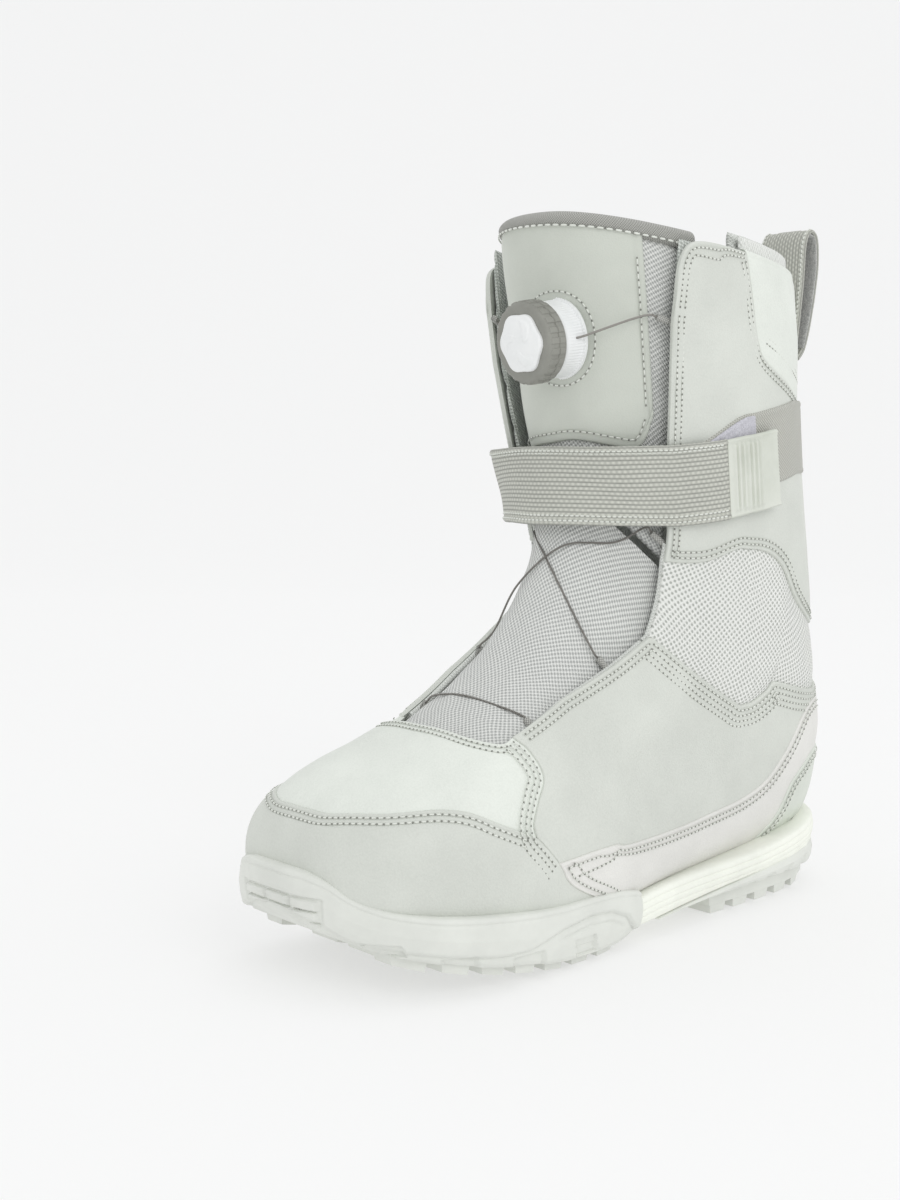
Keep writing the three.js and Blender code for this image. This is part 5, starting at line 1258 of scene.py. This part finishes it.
def cup_relief(a, z, top, low):
    """Relief of the rubber wall: a groove that arches over the rear lobe with a second arc inside it,
    a set-back lower wall, four windows and a bumper of three by three bars at the toe."""
    a = np.where(a > 179, 358 - a, a)
    line = np.interp(a, *GROOVE.T)
    d = -1.5 * smooth(line - z, -0.2, 0.7) - 0.9 * np.exp(-(((z - line) / 0.7) ** 2))
    arc = line - 4.2
    d = d - 0.8 * np.exp(-(((z - arc) / 0.7) ** 2)) * (1 - smooth(a, 46, 56)) * smooth(a, 8, 14)
    for a0, a1, z0, z1 in WINDOWS:
        d = d - 1.7 * block(a - (z - z0) * 0.35, a0, a1) * block(z, z0, z1)
    bars = sum(block(z, 24.4 + 4.5 * k, 27.6 + 4.5 * k, 0.5) for k in range(3))
    ends = block(a, 157.5, 169.5) + block(a, 172, 186)
    d = d + block(a, 155, 200) * block(z, 23.6, 37.6) * (-1.0 + 1.5 * np.clip(bars * ends, 0, 1))
    return d - 0.5 * np.exp(-(((top - 2.4 - z) / 0.5) ** 2))


def midsole_relief(a, z, top, low):
    """Three fine horizontal grooves under the top edge."""
    return -sum(0.55 * np.exp(-(((top - k - z) / 0.45) ** 2)) for k in (3.0, 5.8, 8.6))


def heel_relief(a, z, top, low):
    """Upright slots in the rubber of the heel, open at the bottom."""
    slots = 0.5 - 0.5 * np.cos(2 * np.pi * a / (358 / 22))
    return -1.3 * smooth(slots, 0.62, 0.8) * (1 - smooth(z, top - 4.2, top - 3.2))


def sole_wall(name, table, order, relief, proud, material):
    """The wall of a sole: an outline from a table of widths, swept from its lower to its upper edge
    with a slight bulge, pushed in and out by a relief of (place along, height)."""
    rows = np.concatenate([table[::order, [2, 0, 3, 4]] if order < 0 else table[:, [1, 0, 3, 4]],
                           table[:, [1, 0, 3, 4]] if order < 0 else table[::-1, [2, 0, 3, 4]]])
    line = spline(rows, 30)
    run = length_along(line[:, :2])
    n = int(run[-1] / 0.9)
    line = np.stack([np.interp(np.linspace(0, run[-1], n), run, line[:, k]) for k in range(4)], -1)
    t = np.gradient(line[:, :2], axis=0)
    for _ in range(3):
        t = np.concatenate([t[:1], (t[:-2] + 2 * t[1:-1] + t[2:]) / 4, t[-1:]])
    t = unit(t)
    out = np.stack([t[:, 1], -t[:, 0]], -1)
    share = np.linspace(0, 1, 54)[:, None]
    top, low = line[:, 2][None] + 0.4, line[:, 3][None] - 0.3
    z = low + (top - low) * share
    a = (run[-1] - np.linspace(0, run[-1], n))[None] * 358 / run[-1]
    bulge = np.interp(share, [0, 0.08, 0.3, 0.55, 0.88, 0.96, 1], [-2.6, -1.2, -0.3, 0.2, -0.4, -0.8, -1.8])
    push = proud + bulge + relief(a, z, top, low)
    push = np.concatenate([np.full((1, n), -WALL_LOW_IN), push, np.full((1, n), -WALL_TOP_IN)])
    z = np.concatenate([low + 0.2, z, top + 0.1])
    outside = np.concatenate([line[None, :, :2] + out[None] * push[..., None], z[..., None]], -1)
    flat = np.broadcast_to(line[None, :, :2] - out[None] * (WALL_LOW_IN + 1.0), (len(z), n, 2))
    inside = np.concatenate([flat, np.clip(z, low + 0.6, top - 0.6)[..., None]], -1)
    points, faces = closed_grids(outside, inside)
    mesh_piece(name, points, faces, material, "foot", sharp=60)


def make_sole():
    """Rubber cup wall round the forefoot, grooved foam wall of the midsole and slotted rubber heel wall."""
    sole_wall("cup_wall_rubber", CUP, -1, cup_relief, 2.1, M["rubber"])
    foam, heel = MIDSOLE.copy(), MIDSOLE[1:].copy()
    foam[:, 4] = FOAM_LOW
    heel[:, 3] = np.array(FOAM_LOW[1:]) - 0.5
    sole_wall("midsole_wall_foam", foam, 1, midsole_relief, 1.0, M["foam"])
    sole_wall("heel_wall_rubber", heel, 1, heel_relief, 0.5, M["rubber"])


# ---- stage ---------------------------------------------------------------------------------------------

CAMERA_TURN = 47.59     # degrees round from the toe's own direction


def make_stage():
    """Pale floor that curves up behind, near-white world, two soft lights and the camera."""
    scene = bpy.context.scene
    scene.view_settings.view_transform = "Standard"
    cam = bpy.data.cameras.new("Camera")
    cam.lens, cam.sensor_width, cam.shift_x, cam.shift_y = 51.58, 36.0, -0.0976, -0.1324
    cam.clip_start, cam.clip_end = 0.01, 20
    view = bpy.data.objects.new("Camera", cam)
    scene.collection.objects.link(view)
    view.location = Vector((0.5623, -0.5136, 0.2111)) + Vector(SHIFT)
    view.rotation_euler = (math.radians(90), 0, math.radians(CAMERA_TURN))
    scene.camera = view
    world = bpy.data.worlds.new("Studio")
    world.use_nodes = True
    scene.world = world
    world.node_tree.nodes["Background"].inputs[0].default_value = colour("#f7f8f8")
    world.node_tree.nodes["Background"].inputs[1].default_value = 0.95
    mesh = bpy.data.meshes.new("floor")
    n = 97
    run = np.linspace(-3.2, 5.2, n)
    bend = np.clip((run - 1.6) / 1.6, 0, math.pi / 2)
    ahead = np.where(run < 1.6, run, 1.6 + 1.6 * np.sin(bend))
    up = 1.6 * (1 - np.cos(bend)) + np.maximum(run - 1.6 - 0.8 * math.pi, 0) * 2.5 - 0.0004
    wide, ahead = np.meshgrid(np.linspace(-5, 5, n), ahead)
    turn = math.radians(CAMERA_TURN)
    x = wide * math.cos(turn) - ahead * math.sin(turn)
    y = wide * math.sin(turn) + ahead * math.cos(turn)
    z = np.broadcast_to(up[:, None], x.shape)
    mesh.from_pydata(np.stack([x, y, z], -1).reshape(-1, 3), [], quads(n, n).tolist())
    mesh.polygons.foreach_set("use_smooth", np.ones(len(mesh.polygons), bool))
    floor = bpy.data.objects.new("floor", mesh)
    mat, tree, bsdf = new_material("Studio_backdrop_paper", "#b9b9b9", 0.95, Emission_Color=colour("#f3f3f3"),
                                   Emission_Strength=0.5)
    where = add(tree, "ShaderNodeTexCoord").outputs["Object"]
    grain = add(tree, "ShaderNodeTexNoise", {"Vector": where}, Scale=900.0, Detail=2.0).outputs[0]
    bump(tree, bsdf, grain, 0.05, 0.2)
    mesh.materials.append(mat)
    scene.collection.objects.link(floor)
    for name, place, size, power in (("Key", (1.9, -0.5, 1.3), 1.1, 7.5), ("Top", (0.5, 0.5, 1.9), 1.4, 2)):
        light = bpy.data.lights.new(name, "AREA")
        light.shape, light.size, light.energy = "SQUARE", size, power
        lamp = bpy.data.objects.new(name, light)
        scene.collection.objects.link(lamp)
        lamp.location = place
        lamp.rotation_euler = (Vector((0, 0, 0.15)) - Vector(place)).to_track_quat("-Z", "Y").to_euler()


def finish_cad():
    """Gives each CAD node that stays in view its procedural material."""
    for node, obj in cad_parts.items():
        kind = CAD_FINISH.get(node, "lace" if node.startswith("lace") else "anchor")
        obj.data.materials.clear()
        obj.data.materials.append(M[kind])


# ---- add-on --------------------------------------------------------------------------------------------

class BootOperator:
    """What the operators share: each runs one builder and fails loudly."""
    bl_options = {"REGISTER", "UNDO"}
    build = None

    def execute(self, context):
        type(self).build()
        return {"FINISHED"}


def operator(idname, label, doc, build):
    """One operator class for a piece or group of pieces."""
    return type("BOOT_OT_" + idname, (BootOperator, bpy.types.Operator), {
        "bl_idname": "boot." + idname, "bl_label": label, "__doc__": doc, "build": staticmethod(build)})


def make_all_sides():
    """Both sides of the upper."""
    for side in (1, -1):
        make_side(side)


def make_stitches():
    """Gathers every stitch into one mesh of thread and one of holes for each body."""
    for body in ("foot", "cuff", "tongue", "strap", "pull_loop"):
        finish_sewing(body)


def prepare():
    """The materials, and the CAD nodes that carry them."""
    M.update(make_materials())
    finish_cad()


OPERATORS = [
    operator("stage", "Stage", "Camera, floor and lights", make_stage),
    operator("finishes", "Finishes", "Materials, and the CAD nodes that stay in view", prepare),
    operator("vamp", "Toe cap and vamp", "Leather at the front of the foot", make_vamp),
    operator("sides", "Sides", "Quarters, foxings, ankle mesh and cuff", make_all_sides),
    operator("heel", "Heel", "Heel counter and rear collar", make_heel),
    operator("linings", "Linings", "Padded linings, gussets and liner", make_linings),
    operator("tongue", "Tongue", "Lower tongue, padding, shield and binding", make_tongue),
    operator("strap", "Strap", "Webbing, tab, anchor band and loop patch", make_strap),
    operator("ring", "Ring", "Rounded strap ring", make_ring),
    operator("pull_loop", "Pull loop", "Webbing loop behind the cuff", make_pull_loop),
    operator("dial", "Dial", "Housing, grip ring and cap", make_dial),
    operator("lace", "Lace", "Steel lace and its guide loops", make_lace),
    operator("sole", "Sole", "Rubber cup wall and grooved midsole", make_sole),
    operator("stitches", "Stitches", "Thread and needle holes of every seam", make_stitches),
]


class BOOT_PT_panel(bpy.types.Panel):
    """Buttons for every piece of the boot"""
    bl_label = "Snowboard boot"
    bl_idname = "BOOT_PT_panel"
    bl_space_type = "VIEW_3D"
    bl_region_type = "UI"
    bl_category = "Boot"

    def draw(self, context):
        for name in BootSettings.__annotations__:
            self.layout.prop(context.scene.boot, name)
        for cls in OPERATORS:
            self.layout.operator(cls.bl_idname)


def register():
    for cls in [BootSettings] + OPERATORS + [BOOT_PT_panel]:
        bpy.utils.register_class(cls)
    bpy.types.Scene.boot = bpy.props.PointerProperty(
        type=BootSettings, name="Boot", description="Settings of the snowboard boot")


def unregister():
    del bpy.types.Scene.boot
    for cls in reversed([BootSettings] + OPERATORS + [BOOT_PT_panel]):
        bpy.utils.unregister_class(cls)


def main():
    register()
    for cls in OPERATORS:
        group, name = cls.bl_idname.split(".")
        getattr(getattr(bpy.ops, group), name)()


if __name__ == "__main__":
    main()
